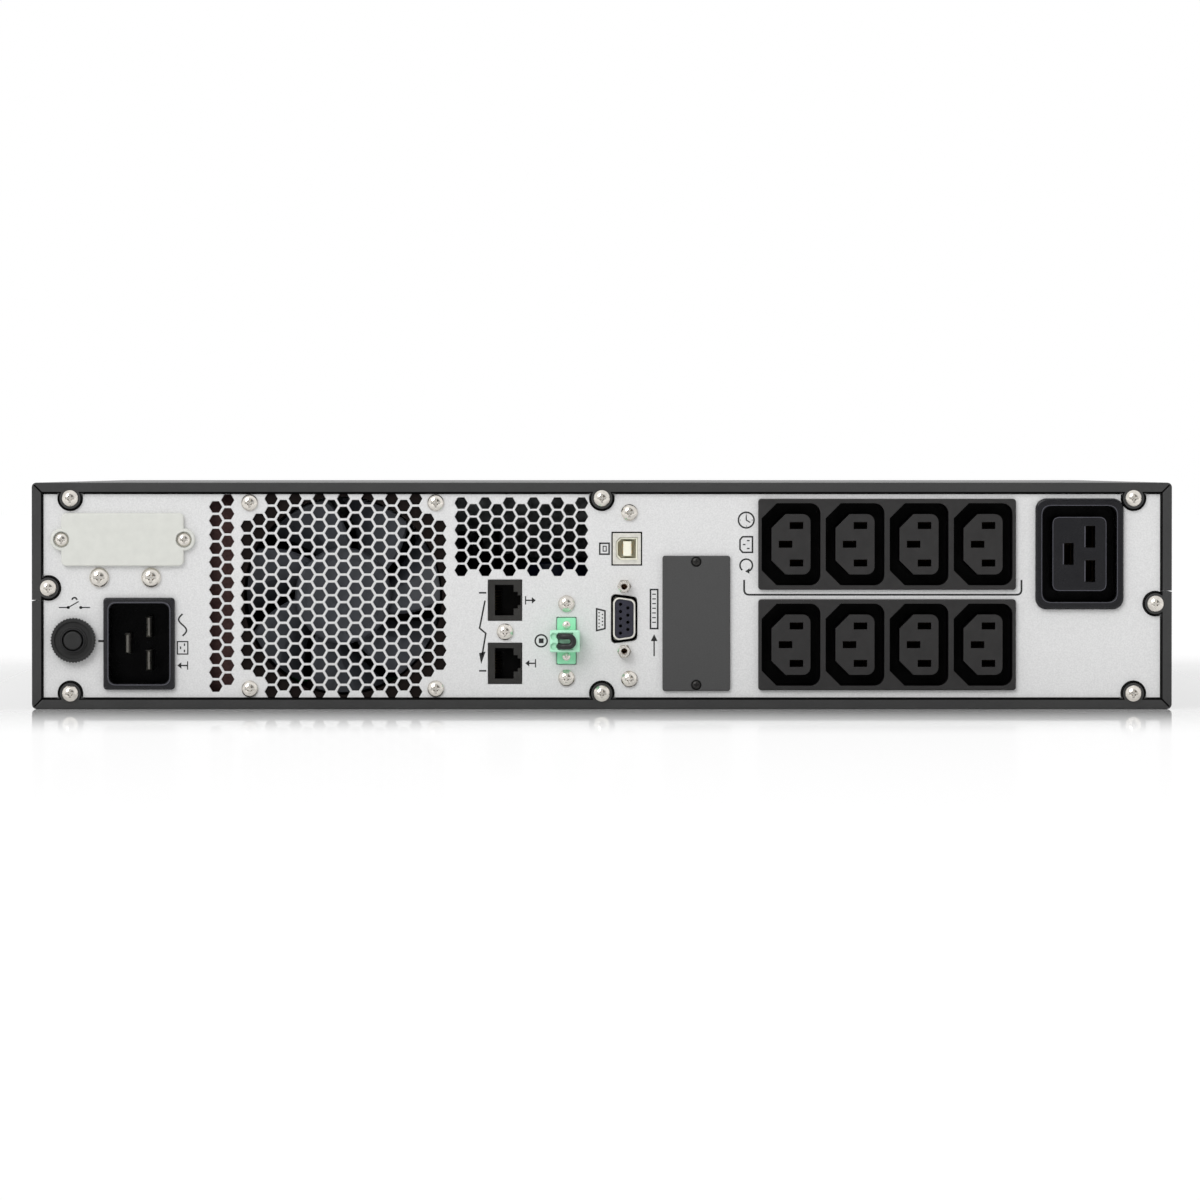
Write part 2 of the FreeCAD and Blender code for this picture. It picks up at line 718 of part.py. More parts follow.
def large_outlet():
    proud = 2.2
    body = flanged_body(
        "large_outlet_housing", (d.big_w, d.big_h), proud, (d.big_w - 3, d.big_h - 3), 27, 4.3
    )
    soften(body, 0.9, front_rim(-proud))
    sink(body, draw(
        sketch_on(body, -proud),
        box_corners(0, 0, d.big_well_w, d.big_well_h, 3.6),
        box_corners(0, 0, d.big_core_w, d.big_core_h, 2.8),
    ), d.well_deep + 0.4)
    sink(body, draw(
        sketch_on(body, -proud), box_corners(0, 0, d.big_core_w + 1, d.big_core_h + 1, 3.2)
    ), 0.8)
    slots = sketch_on(body, -proud)
    for x, rise in BIG_SLOTS:
        draw(slots, box_corners(x, rise, 3.7, 8.4))
    sink(body, slots, 30)
    place(body, "big_x", "panel_y", "big_z")


def sleeve(x, z, wide, tall):
    """A female contact: an open sleeve in an outlet slot, with a solder tail out of the back."""
    outer = Part.makeBox(wide - 0.3, 16.4, tall - 0.3, V(0.15 - wide / 2, 10, 0.15 - tall / 2))
    inner = Part.makeBox(wide - 1.3, 12, tall - 1.3, V(0.65 - wide / 2, 9, 0.65 - tall / 2))
    tail = Part.makeBox(1, 10, min(tall, 2.4), V(-0.5, 26, -min(tall, 2.4) / 2))
    shape = outer.cut(inner).fuse(tail).removeSplitter()
    shape.translate(V(x, d.panel_y, z))
    return shape


def outlet_contacts():
    contacts = [sleeve(d.big_x + x, d.big_z + rise, 3.7, 8.4) for x, rise in BIG_SLOTS]
    for z in (d.block_upper_z, d.block_lower_z):
        for n in range(4):
            middle = d.block_x + (n - 1.5) * d.outlet_pitch
            contacts += [sleeve(middle + x, z + rise, 5.2, 2.7) for x, rise in SMALL_SLOTS]
    made(Part.makeCompound(contacts), "outlet_contacts")


def mains_inlet():
    proud = 2
    body = flanged_body(
        "inlet_housing", (d.inlet_w, d.inlet_h), proud, (d.inlet_w - 1.6, d.inlet_h - 1.8), 24, 1.4
    )
    soften(body, 0.7, front_rim(-proud))
    lip = draw(
        sketch_on(body, -proud),
        box_corners(0, 0, d.inlet_hole_w + 1.4, d.inlet_hole_h + 1.4, 3.4),
        box_corners(0, 0, d.inlet_hole_w, d.inlet_hole_h, 2.9),
    )
    grow(body, lip, 0.5)
    cavity = draw(sketch_on(body, -proud - 1), box_corners(0, 0, d.inlet_hole_w, d.inlet_hole_h, 2.9))
    sink(body, cavity, "inlet_deep + 1")
    holes = sketch_on(body, 0)
    blades = []
    for x, rise in ((3.6, 6.5), (3.6, -6.5), (-4.6, 0)):
        draw(holes, box_corners(x, rise, 2, 8))
        tip = d.inlet_deep - proud
        blade = Part.makeBox(2, 17, 8, V(x - 1, tip - 17, rise - 4))
        blade = blade.makeChamfer(0.6, [e for e in blade.Edges if front_rim(tip - 17)(e)])
        tail = Part.makeBox(2, 7, 8, V(x - 1, tip, rise - 4))
        tag = Part.makeBox(0.8, 9, 6.3, V(x - 0.4, tip + 7, rise - 3.15))
        blades.append(blade.fuse([tail, tag]).removeSplitter())
    sink(body, holes, 40)
    place(body, "inlet_x", "panel_y", "inlet_z")
    made(copies(Part.makeCompound(blades), [(d.inlet_x, d.panel_y, d.inlet_z)]), "inlet_pins")


def breaker():
    """A push-to-reset thermal breaker: body with a threaded bushing, ring nut and button."""
    bushing = rod("bush_r", ("-4.2", "14"))
    case = block(("-7.5", "7.5"), ("1.5", "30"), ("-16", "16"))
    hollow = rod("button_r + 0.1", ("-5", "13"))
    gap = rod("button_r + 0.65", ("-5", "-1.4"))
    tags = [block(("-3.15", "3.15"), ("30", "39"), (f"{z} - 0.4", f"{z} + 0.4")) for z in (-11, 11)]
    body = cut(fused(bushing, case, *tags), hollow, gap)
    keep(place(body, "breaker_x", "panel_y", "breaker_z"), "breaker_body")

    nut = new_body("breaker_nut")
    ring = draw(sketch_on(nut), toothed_corners(d.nut_r, 0.45, 44))
    circle(ring, "0", "0", "bush_r + 0.05")
    grow(nut, ring, "3.4")
    groove = sketch_on(nut, "-3.4")
    circle(groove, "0", "0", "nut_r - 1.5")
    circle(groove, "0", "0", "bush_r + 0.7")
    sink(nut, groove, "0.9")
    place(nut, "breaker_x", "panel_y", "breaker_z")

    plunger = eased(rod("button_r", ("-5", "9")), 0.5, front_rim(-5))
    keep(place(plunger, "breaker_x", "panel_y", "breaker_z"), "breaker_button")


def terminal_cover():
    """Insulating plate with two screw ears over the battery terminal opening."""
    body = new_body("terminal_cover")
    grow(body, draw(sketch_on(body), box_corners(0, 0, d.term_w, d.term_h, 2)), "2")
    ears = sketch_on(body)
    for side in (-1, 1):
        circle(ears, f"{side} * term_w / 2", "0", "term_ear_r")
    grow(body, ears, "2")
    soften(body, 0.6, front_rim(-2))
    holes = sketch_on(body, "-2")
    for side in (-1, 1):
        circle(holes, f"{side} * term_w / 2", "0", "1.6")
    sink(body, holes, "2")
    seats = sketch_on(body, "-2")
    for side in (-1, 1):
        circle(seats, f"{side} * term_w / 2", "0", "3.1")
    sink(body, seats, "1.2")
    place(body, "term_x", "panel_y", "term_z")


def surge_jacks():
    """Two eight-way modular jacks with their latch notch on the right, and their spring contacts."""
    half = [(-3.9, -5.9), (3.3, -5.9), (3.3, -3.2), (4.9, -3.2), (4.9, -1.9), (6.0, -1.9)]
    mouth = half + [(x, -rise) for x, rise in reversed(half)]
    spring = [(-4.2, 1.2), (-3.8, 1.2), (-1.5, 9.4), (-1.5, 18), (-1.9, 18), (-1.9, 9.6), (-4.2, 2)]
    jacks, contacts = [], []
    for side in (-1, 1):
        wires = [contact_strip(spring, -3.8 + 1.02 * n) for n in range(8)]
        jack = solid_of(box_corners(0, 0, d.jack_w, d.jack_h, 0.2), -0.1, 17)
        comb = [Part.makeBox(0.6, 11, 0.5, V(-4.3, 0.8, -3.83 + 1.02 * n)) for n in range(8)]
        jack = jack.cut([solid_of(mouth, -1, 12.5)] + comb + wires)
        spot = V(d.jack_x, d.panel_y, d.jack_mid_z + side * d.jack_rise)
        for shape in [jack] + wires:
            shape.translate(spot)
        jacks.append(jack)
        contacts += wires
    made(Part.makeCompound(jacks), "surge_jacks")
    made(Part.makeCompound(contacts), "jack_contacts")


def contact_strip(profile, z):
    """A spring wire from its (x, y) profile, 0.44 thick."""
    points = [V(x, y, z) for x, y in profile]
    return Part.Face(Part.makePolygon(points + points[:1])).extrude(V(0, 0, 0.44))


def emergency_off():
    """Two-way header with screw flanges, its plug, and the wire loop that keeps the contact closed."""
    header = block(("-3.6", "3.6"), ("-1.2", "12"), ("-8.9", "8.9"))
    header = eased(header, 0.5, lambda e: runs_along(e, V(0, 1, 0)))
    mouth = block(("-2.9", "2.9"), ("-2", "8"), ("-4", "4"))
    holes = [rod("1.1", ("-2", "6"), 0, rise) for rise in ("-6.1", "6.1")]
    keep(place(cut(header, mouth, *holes), "epo_x", "panel_y", "epo_z"), "epo_header")

    screw = pan_screw(1.5, 0.8, 1.05, 5)
    spots = [(d.epo_x, d.panel_y - 1.2, d.epo_z + rise) for rise in (-6.1, 6.1)]
    made(copies(screw, spots), "epo_header_screws")

    nose = block(("-2.6", "2.6"), ("-1.6", "7.4"), ("-3.7", "3.7"))
    shell = block(("-6.3", "5.2"), ("-10", "-1.5"), ("-4.2", "4.2"))
    shell = eased(shell, 0.6, lambda e: front_rim(-10)(e) or runs_along(e, V(0, 1, 0)))
    trough = block(("-3.2", "2.6"), ("-11", "-8.4"), ("-3.2", "3.2"))
    wells = [rod("1.25", ("-11", "-3"), "-2.6", rise) for rise in ("-1.9", "1.9")]
    heads = [rod("1.3", ("-12", "-9.2"), "-4.7", rise) for rise in ("-1.9", "1.9")]
    keep(place(cut(fused(shell, nose), trough, *wells, *heads), "epo_x", "panel_y", "epo_z"), "epo_plug")

    wire_r, bend, rise = 1.15, 2.2, 1.9
    x, out = -2.6, -9.4
    reach = x + bend
    points = [V(x, -4, rise), V(x, out, rise)]
    dip = bend * (1 - math.sqrt(0.5))
    first = Part.Arc(V(x, out, rise), V(x + dip, out - bend + dip, rise), V(reach, out - bend, rise))
    level = out - bend
    end = 1.2 + reach
    turn = Part.Arc(V(end, level, rise), V(end + rise, level, 0), V(end, level, -rise))
    last = Part.Arc(V(reach, level, -rise), V(x + dip, level + dip, -rise), V(x, out, -rise))
    path = Part.Wire([
        Part.makeLine(*points),
        first.toShape(),
        Part.makeLine(V(reach, level, rise), V(end, level, rise)),
        turn.toShape(),
        Part.makeLine(V(end, level, -rise), V(reach, level, -rise)),
        last.toShape(),
        Part.makeLine(V(x, out, -rise), V(x, -4, -rise)),
    ])
    ring = Part.Wire([Part.makeCircle(wire_r, points[0], V(0, 1, 0))])
    loop = path.makePipeShell([ring], True, False)
    loop.translate(V(d.epo_x, d.panel_y, d.epo_z))
    made(Part.Solid(loop) if loop.ShapeType == "Shell" else loop, "epo_loop_wire")


def data_ports():
    """The square data port and the nine-way serial port."""
    shell = new_body("usb_shell")
    grow(shell, draw(sketch_on(shell), box_corners(0, 0, 10.8, 12, 0.3)), "15", inward=True)
    mouth = [(-4.2, -2.8), (-2.6, -4.4), (4.2, -4.4), (4.2, 4.4), (-2.6, 4.4), (-4.2, 2.8)]
    sink(shell, draw(sketch_on(shell), mouth), "10")
    lip = [(-4.7, -3.0), (-2.8, -4.9), (4.7, -4.9), (4.7, 4.9), (-2.8, 4.9), (-4.7, 3.0)]
    grow(shell, draw(sketch_on(shell), lip, mouth), "0.4")
    place(shell, "usb_x", "panel_y - 0.2", "usb_z")

    liner_out = [(-4.1, -2.7), (-2.5, -4.3), (4.1, -4.3), (4.1, 4.3), (-2.5, 4.3), (-4.1, 2.7)]
    liner_in = [(-3.5, -2.4), (-2.2, -3.7), (3.5, -3.7), (3.5, 3.7), (-2.2, 3.7), (-3.5, 2.4)]
    liner = solid_of(liner_out, 0.4, 9.8).cut(solid_of(liner_in, 0.3, 7))
    tongue = Part.makeBox(3.2, 6.6, 5.7, V(-1.4, 0.8, -2.85))
    tongue = tongue.makeFillet(0.3, [e for e in tongue.Edges if front_rim(0.8)(e)])
    insert = liner.fuse(tongue).removeSplitter()
    insert.translate(V(d.usb_x, d.panel_y - 0.2, d.usb_z))
    made(insert, "usb_tongue")

    serial = new_body("serial_shell")
    mouth = d_corners(0, 0, 7.3, 15.8, 1.1, 1.9)
    ring = draw(sketch_on(serial, "-1.6"), d_corners(0, 0, 8.5, 17, 1.2, 2.3), mouth)
    grow(serial, ring, "6", inward=True)
    flange = draw(sketch_on(serial, "4"), box_corners(0, 0, 12.4, 30.8, 1), mouth)
    grow(serial, flange, "1", inward=True)
    holes = sketch_on(serial, "4")
    for side in (-1, 1):
        circle(holes, "0", f"{side} * jackscrew_rise", "1.7")
    sink(serial, holes, "1")
    place(serial, "serial_x", "panel_y", "serial_z")

    insert = new_body("serial_insert")
    grow(insert, draw(sketch_on(insert, "-1.1"), d_corners(0, 0, 7.2, 15.7, 1.1, 1.8)), "9", inward=True)
    pins = sketch_on(insert, "-1.1")
    for n in range(5):
        circle(pins, "-1.42", f"{n - 2} * 2.77", "0.62")
    for n in range(4):
        circle(pins, "1.42", f"({n} - 1.5) * 2.77", "0.62")
    sink(insert, pins, "6")
    place(insert, "serial_x", "panel_y", "serial_z")

    posts = []
    for side in (-1, 1):
        head = solid_of(hexagon(0, 0, 4.8), -4.6, 0)
        cap = Part.makeCone(2.1, 2.9, 0.9, V(0, -4.6, 0), V(0, 1, 0))
        head = head.common(cap.fuse(Part.makeCylinder(2.9, 3.7, V(0, -3.7, 0), V(0, 1, 0))))
        shank = Part.makeCylinder(1.4, 7.2, V(0, -0.2, 0), V(0, 1, 0))
        spacer = Part.makeCylinder(2.3, 2.6, V(0, 1.3, 0), V(0, 1, 0))
        bore = Part.makeCylinder(1.25, 4.4, V(0, -4.7, 0), V(0, 1, 0))
        jackscrew = head.fuse([shank, spacer]).cut(bore)
        jackscrew.translate(V(d.serial_x, d.panel_y, d.serial_z + side * d.jackscrew_rise))
        posts.append(jackscrew)
    made(Part.makeCompound(posts), "serial_jackscrews")


def card_slot():
    """Blanking plate, its two dark screws, and the guides that take an expansion card."""
    body = new_body("slot_cover")
    plate = sketch_on(body)
    rect(plate, "0", "0", "slot_w", "slot_h")
    grow(body, plate, "1.5")
    soften(body, 1.0, lambda e: runs_along(e, V(0, 1, 0)))
    soften(body, 0.35, front_rim(-1.5))
    holes = sketch_on(body, "-1.5")
    for side in (-1, 1):
        circle(holes, "0", f"{side} * slot_screw_rise", "1.1")
    sink(body, holes, "1.5")
    seats = sketch_on(body, "-1.5")
    for side in (-1, 1):
        circle(seats, "0", f"{side} * slot_screw_rise", "2.0")
    sink(body, seats, "0.9")
    place(body, "slot_x", "panel_y", "slot_z")

    screw = pan_screw(1.8, 0.8, 1.0, 5)
    spots = [(d.slot_x, d.panel_y - 0.6, d.slot_z + s * d.slot_screw_rise) for s in (-1, 1)]
    made(copies(screw, spots), "slot_cover_screws")

    guides = []
    for low, groove in (("slot_z - 26", "slot_z - 22.5"), ("slot_z + 20", "slot_z + 19")):
        rail = block(("slot_x - 7", "slot_x + 1"), ("panel_y + 6", "panel_y + 95"), (low, f"{low} + 6"))
        slit = block(("slot_x - 4", "slot_x - 2"), ("panel_y + 5", "panel_y + 96"), (groove, f"{groove} + 4"))
        guides.append(cut(rail, slit))
    keep(several(*guides), "card_guides")


# Inside -------------------------------------------------------------------------------------------


def fan():
    back = "fan_depth"
    frame = block(("-fan_size / 2", "fan_size / 2"), ("0", back), ("-fan_size / 2", "fan_size / 2"))
    frame = eased(frame, 4, lambda e: runs_along(e, V(0, 1, 0)))
    bore = rod("fan_bore_r", ("-1", "fan_depth + 1"))
    holes = [
        rod("2.15", ("-1", "fan_depth + 1"), f"{a} * fan_pitch / 2", f"{b} * fan_pitch / 2")
        for a in (-1, 1)
        for b in (-1, 1)
    ]
    ring = cut(frame, bore, *holes)
    mount = rod("15", ("fan_depth - 3.6", back))
    struts = []
    for turn in (20, 110, 200, 290):
        strut = doc.addObject("Part::Box", "strut")
        bind(strut, Length="fan_bore_r - 13", Width="3", Height="4")
        about = FreeCAD.Rotation(V(0, 1, 0), turn)
        corner = about.multVec(V(14, d.fan_depth - 3, -2))
        strut.Placement = FreeCAD.Placement(corner, about)
        struts.append(strut)
    bearing = rod("4", ("9", "fan_depth - 1"))
    spindle = rod("1.56", ("8", "fan_depth - 1.2"))
    keep(place(cut(fused(ring, mount, *struts, bearing), spindle), "fan_x", "panel_y + wall + 0.2", "fan_z"),
         "fan_frame")

    cup = Part.makeCylinder(d.hub_r, 18, V(0, 2, 0), V(0, 1, 0))
    cup = cup.makeFillet(1.5, [e for e in cup.Edges if front_rim(2)(e)])
    cup = cup.cut(Part.makeCylinder(d.hub_r - 2, 17, V(0, 4.2, 0), V(0, 1, 0)))
    shaft = Part.makeCylinder(1.5, 19.4, V(0, 4, 0), V(0, 1, 0))
    blade = fan_blade()
    blades = []
    for n in range(7):
        turned = blade.copy()
        turned.rotate(V(), V(0, 1, 0), 360 / 7 * n)
        blades.append(turned)
    rotor = cup.fuse([shaft] + blades)
    rotor.translate(V(d.fan_x, d.panel_y + d.wall + 0.2, d.fan_z))
    made(rotor, "fan_rotor")


def fan_blade():
    """One swept blade, lofted through sections square to the radius and trimmed to the tip circle."""
    sections = []
    for radius, half_chord, sweep in ((d.hub_r - 1.2, 6.4, 0), (27, 10.5, 10), (d.blade_r + 1.5, 14.5, 22)):
        turn = math.radians(sweep)
        low, high, thick = 4.5, 18.8, 0.75
        along = V(2 * half_chord, high - low, 0).normalize()
        side = V(-along.y, along.x, 0) * thick
        chord = [V(-half_chord, low, 0), V(half_chord, high, 0)]
        bow = (chord[0] + chord[1]) * 0.5 + V(-along.y, along.x, 0) * -1.6
        flat = [chord[0] - side, bow - side, chord[1] - side, chord[1] + side, bow + side, chord[0] + side]
        c, s = math.cos(turn), math.sin(turn)
        ring = [V(radius * c - p.x * s, p.y, radius * s + p.x * c) for p in flat]
        sections.append(Part.makePolygon(ring + ring[:1]))
    blade = Part.makeLoft(sections, True, False)
    return blade.common(Part.makeCylinder(d.blade_r, 30, V(0, 0, 0), V(0, 1, 0)))


def boards():
    """Main power board on standoffs, and the two small upright boards behind the signal connectors."""
    main = block(("-205", "12"), ("-248", "-62"), ("9.2", "10.8"))
    spots = [(x, y) for x in ("-199", "-96", "6") for y in ("-242", "-68")]
    keep(cut(main, *[post("1.7", ("8", "12"), x, y) for x, y in spots]), "main_board")
    stands = []
    for x, y in spots:
        pillar = post("3.2", ("wall", "9.2"), x, y)
        stud = post("1.5", ("9.2", "13"), x, y)
        stands.append(fused(pillar, stud))
    keep(several(*stands), "board_standoffs")
    comm = block(("usb_x + 5.6", "usb_x + 7.2"), ("panel_y + 2.6", "panel_y + 50"), ("5", "82"))
    keep(comm, "comm_board")
    surge = block(("jack_x - 8.2", "jack_x - 6.6"), ("panel_y + 2.6", "panel_y + 34"), ("5", "48"))
    keep(surge, "surge_board")


def heatsinks():
    """Two finned aluminium extrusions in the fan's air stream."""
    count, thick, foot, tall, base = 8, 1.6, 4, 56, 10.8
    sinks = []
    for left in (-152, -92):
        pitch = (50 - thick) / (count - 1)
        comb = [(left, base), (left + 50, base)]
        for n in reversed(range(count)):
            x = left + n * pitch
            comb += [(x + thick, base + foot)] if n < count - 1 else []
            comb += [(x + thick, base + tall), (x, base + tall)]
            comb += [(x, base + foot)] if n else []
        sinks.append(solid_of(comb, -238, -98))
    made(Part.makeCompound(sinks), "heatsinks")


def capacitors():
    """Screw-vent electrolytic cans in two rows on the main board."""
    base, tall, radius = 10.8, 45, 15
    cans = []
    for x in (-182, -18):
        for n in range(5):
            y = -230 + 36 * n
            can = Part.makeCylinder(radius, tall, V(x, y, base))
            can = can.makeFillet(1.2, [e for e in can.Edges if abs(e.BoundBox.ZMin - base - tall) < 1e-3])
            groove = Part.makeTorus(radius + 0.4, 0.9, V(x, y, base + 4))
            vent = Part.makeBox(20, 0.8, 1, V(x - 10, y - 0.4, base + tall - 0.4))
            cans.append(can.cut([groove, vent]))
    made(Part.makeCompound(cans), "bus_capacitors")


def transformer():
    """Stacked E-I core, windings round its centre limb, and the clamp that bolts it down."""
    left, right, rear, front = ("158 - 48", "158 + 48", "40", "190")
    core = block((left, right), (rear, front), ("17", "67"))
    windows = [
        block((f"158 + {a}", f"158 + {b}"), ("56", "174"), ("16", "68")) for a, b in ((-34, -15), (15, 34))
    ]
    keep(cut(core, *windows), "transformer_core")
    coil = block(("158 - 33", "158 + 33"), ("57", "173"), ("6.5", "77.5"))
    coil = eased(coil, 9, lambda e: runs_along(e, V(0, 1, 0)))
    limb = block(("158 - 15.2", "158 + 15.2"), ("50", "180"), ("16.8", "67.2"))
    keep(cut(coil, limb), "transformer_windings")
    feet = []
    for foot_y, web_y in (((28, 40), (38.4, 40)), ((190, 202), (190, 191.6))):
        sole = block((left, right), foot_y, ("wall", "wall + 1.6"))
        web = block((left, right), web_y, ("wall", "60"))
        bolts = [post("2.2", ("0", "5"), x, sum(foot_y) / 2) for x in ("120", "196")]
        feet.append(cut(fused(sole, web), *bolts))
    keep(several(*feet), "transformer_bracket")


def battery_tray():
    """Sheet steel drawer with two hold-down straps over the batteries."""
    left, right, rear, front = "bay_left", "bay_right", "tray_rear", "tray_front"
    lip = ("tray_floor", "tray_floor + 34")
    sides = [
        block((left, right), (rear, front), ("tray_floor", "tray_floor + wall")),
        block((left, f"{left} + wall"), (rear, front), lip),
        block((f"{right} - wall", right), (rear, front), lip),
        block((left, right), (rear, f"{rear} + wall"), ("tray_floor", "tray_floor + 58")),
        block((left, right), (f"{front} - wall", front), ("tray_floor", "case_h - 7")),
    ]
    for low in (28, 188):
        band = (str(low), str(low + 22))
        high = "tray_floor + wall + cell_thick + 0.8"
        sides.append(block((left, right), band, (high, f"{high} + wall")))
        sides.append(block((left, f"{left} + wall"), band, ("tray_floor", f"{high} + wall")))
        sides.append(block((f"{right} - wall", right), band, ("tray_floor", f"{high} + wall")))
    hole = block(("plug_x - 14", "plug_x + 14"), (f"{rear} - 1", f"{rear} + 3"), ("plug_z - 6", "plug_z + 6"))
    keep(cut(fused(*sides), hole), "battery_tray")


def batteries():
    """Six sealed blocks lying on their sides: open case, welded lid, plate stack and blade terminals."""
    cases, cells, blades = [], [], []
    shell = 2.5
    floor = d.tray_floor + d.wall + 0.2
    for column in range(3):
        for row in range(2):
            x = d.bay_left + d.wall + 0.3 + column * 99.4
            y = d.tray_rear + d.wall + 1 + row * (d.cell_long + 1.5)
            case = Part.makeBox(d.cell_case, d.cell_long, d.cell_thick, V(x, y, floor))
            case = case.makeFillet(2.5, [e for e in case.Edges if runs_along(e, V(1, 0, 0))])
            hollow = Part.makeBox(
                d.cell_case, d.cell_long - 2 * shell, d.cell_thick - 2 * shell,
                V(x + shell, y + shell, floor + shell),
            )
            case = case.cut(hollow)
            top = x + d.cell_case
            lid = Part.makeBox(d.cell_lid, d.cell_long, d.cell_thick, V(top, y, floor))
            rim = [e for e in lid.Edges if abs(e.BoundBox.XMin - top - d.cell_lid) < 1e-4]
            lid = lid.makeFillet(1.5, rim)
            for n in range(6):
                vent = V(top + d.cell_lid - 0.5, y + 26 + 20 * n, floor + 32)
                lid = lid.cut(Part.makeCylinder(7, 0.6, vent, V(1, 0, 0)))
            cases.append(case.fuse(lid))
            cells.append(Part.makeBox(
                d.cell_case - shell - 1, d.cell_long - 2 * shell - 1, d.cell_thick - 2 * shell - 1,
                V(x + shell + 0.5, y + shell + 0.5, floor + shell + 0.5),
            ))
            for end in (9, d.cell_long - 9):
                root = V(top + d.cell_lid, y + end - 3.15, floor + 54)
                eye = Part.makeCylinder(0.8, 2, root + V(2.6, 3.15, -0.5))
                blades.append(Part.makeBox(4.8, 6.3, 0.8, root).cut(eye))
    for label, solids in (
        ("battery_cases", cases),
        ("battery_cells", cells),
        ("battery_terminals", blades),
    ):
        made(Part.makeCompound(solids), label)


def battery_connector():
    """Blind-mating pair: the plug on the tray, the socket behind the bay wall."""
    low, high = "plug_z - 9", "plug_z + 9"
    nose = block(("plug_x - 17", "plug_x + 17"), ("tray_rear - 19", "tray_rear"), (low, high))
    nose = eased(nose, 1, lambda e: runs_along(e, V(0, 1, 0)))
    bores = [rod("3.6", ("tray_rear - 20", "tray_rear - 6"), f"plug_x + {x}", "plug_z") for x in (-8, 8)]
    keep(cut(nose, *bores), "battery_plug")
    low, high = "plug_z - 15", "plug_z + 15"
    shell = block(("plug_x - 24", "plug_x + 24"), ("divider_y - 20", "divider_y"), (low, high))
    mouth = block(("plug_x - 17.5", "plug_x + 17.5"), ("divider_y - 15", "divider_y + 1"),
                  ("plug_z - 9.5", "plug_z + 9.5"))
    pins = [rod("2.9", ("divider_y - 16", "divider_y - 4"), f"plug_x + {x}", "plug_z") for x in (-8, 8)]
    keep(fused(cut(shell, mouth), *pins), "battery_socket")


# Front --------------------------------------------------------------------------------------------


def bezel_shell(label, left, right):
    """A front moulding between two X expressions, drawn from its rear face to the bezel front."""
    body = new_body(label)
    back = sketch_on(body, "tray_front")
    rect(back, f"({left} + {right}) / 2", "mid_z", f"({right}) - ({left})", "case_h - 0.4")
    grow(body, back, "bezel_front - tray_front", inward=True)
    soften(body, 2.4, lambda e: front_rim(d.bezel_front)(e))
    return body


def louvres(body, x, width, low, count):
    """A column of air slots through the front face."""
    slot = sketch_on(body, "bezel_front")
    draw(slot, box_corners(x, low, width, 2.8, 1.3))
    first = sink(body, slot, "bezel_wall", inward=False)
    repeat(body, [first], slot, "V_Axis", f"{(count - 1) * 6.2}", count)


def drawer_front():
    body = bezel_shell("drawer_front", "-case_w / 2", "split_x - 0.3")
    grip_x, grip_w, grip_h = -54, 104, 28
    inside = sketch_on(body, "tray_front")
    rect(inside, grip_x, "mid_z", "294", "case_h - 2 * bezel_wall - 0.4")
    rect(inside, grip_x, "mid_z", f"{grip_w} + 2 * bezel_wall", f"{grip_h} + 2 * bezel_wall")
    sink(body, inside, "bezel_front - tray_front - bezel_wall")
    behind = sketch_on(body, "tray_front")
    rect(behind, grip_x, "mid_z", f"{grip_w} + 2 * bezel_wall", f"{grip_h} + 2 * bezel_wall")
    sink(body, behind, "9")
    grip = draw(sketch_on(body, "bezel_front"), box_corners(grip_x, d.mid_z, grip_w, grip_h, 5))
    sink(body, grip, "17", inward=False)
    soften(body, 1.2, lambda e: front_rim(d.bezel_front)(e) and e.BoundBox.ZMin > 20 and e.BoundBox.ZMax < 70
           and e.BoundBox.XMin > grip_x - 60 and e.BoundBox.XMax < grip_x + 60)
    for x in (-157, 51):
        louvres(body, x, 82, 12.5, 11)
    wells, holes = sketch_on(body, "bezel_front"), sketch_on(body, "bezel_front")
    for x in ("thumb_left_x", "thumb_right_x"):
        circle(wells, x, "mid_z", "6.2")
        circle(holes, x, "mid_z", "2.1")
    sink(body, wells, "14", inward=False)
    sink(body, holes, "31", inward=False)


def thumbscrew(label, x):
    body = new_body(label)
    grow(body, draw(sketch_on(body, "0"), toothed_corners(5.6, 0.4, 28)), "12.4", inward=True)
    shank = sketch_on(body, "0")
    circle(shank, "0", "0", "2")
    grow(body, shank, "24")
    slot = sketch_on(body, "12.4")
    rect(slot, "0", "0", "9", "1.4")
    sink(body, slot, "1.6", inward=False)
    place(body, x, "bezel_front - 13.8", "mid_z")


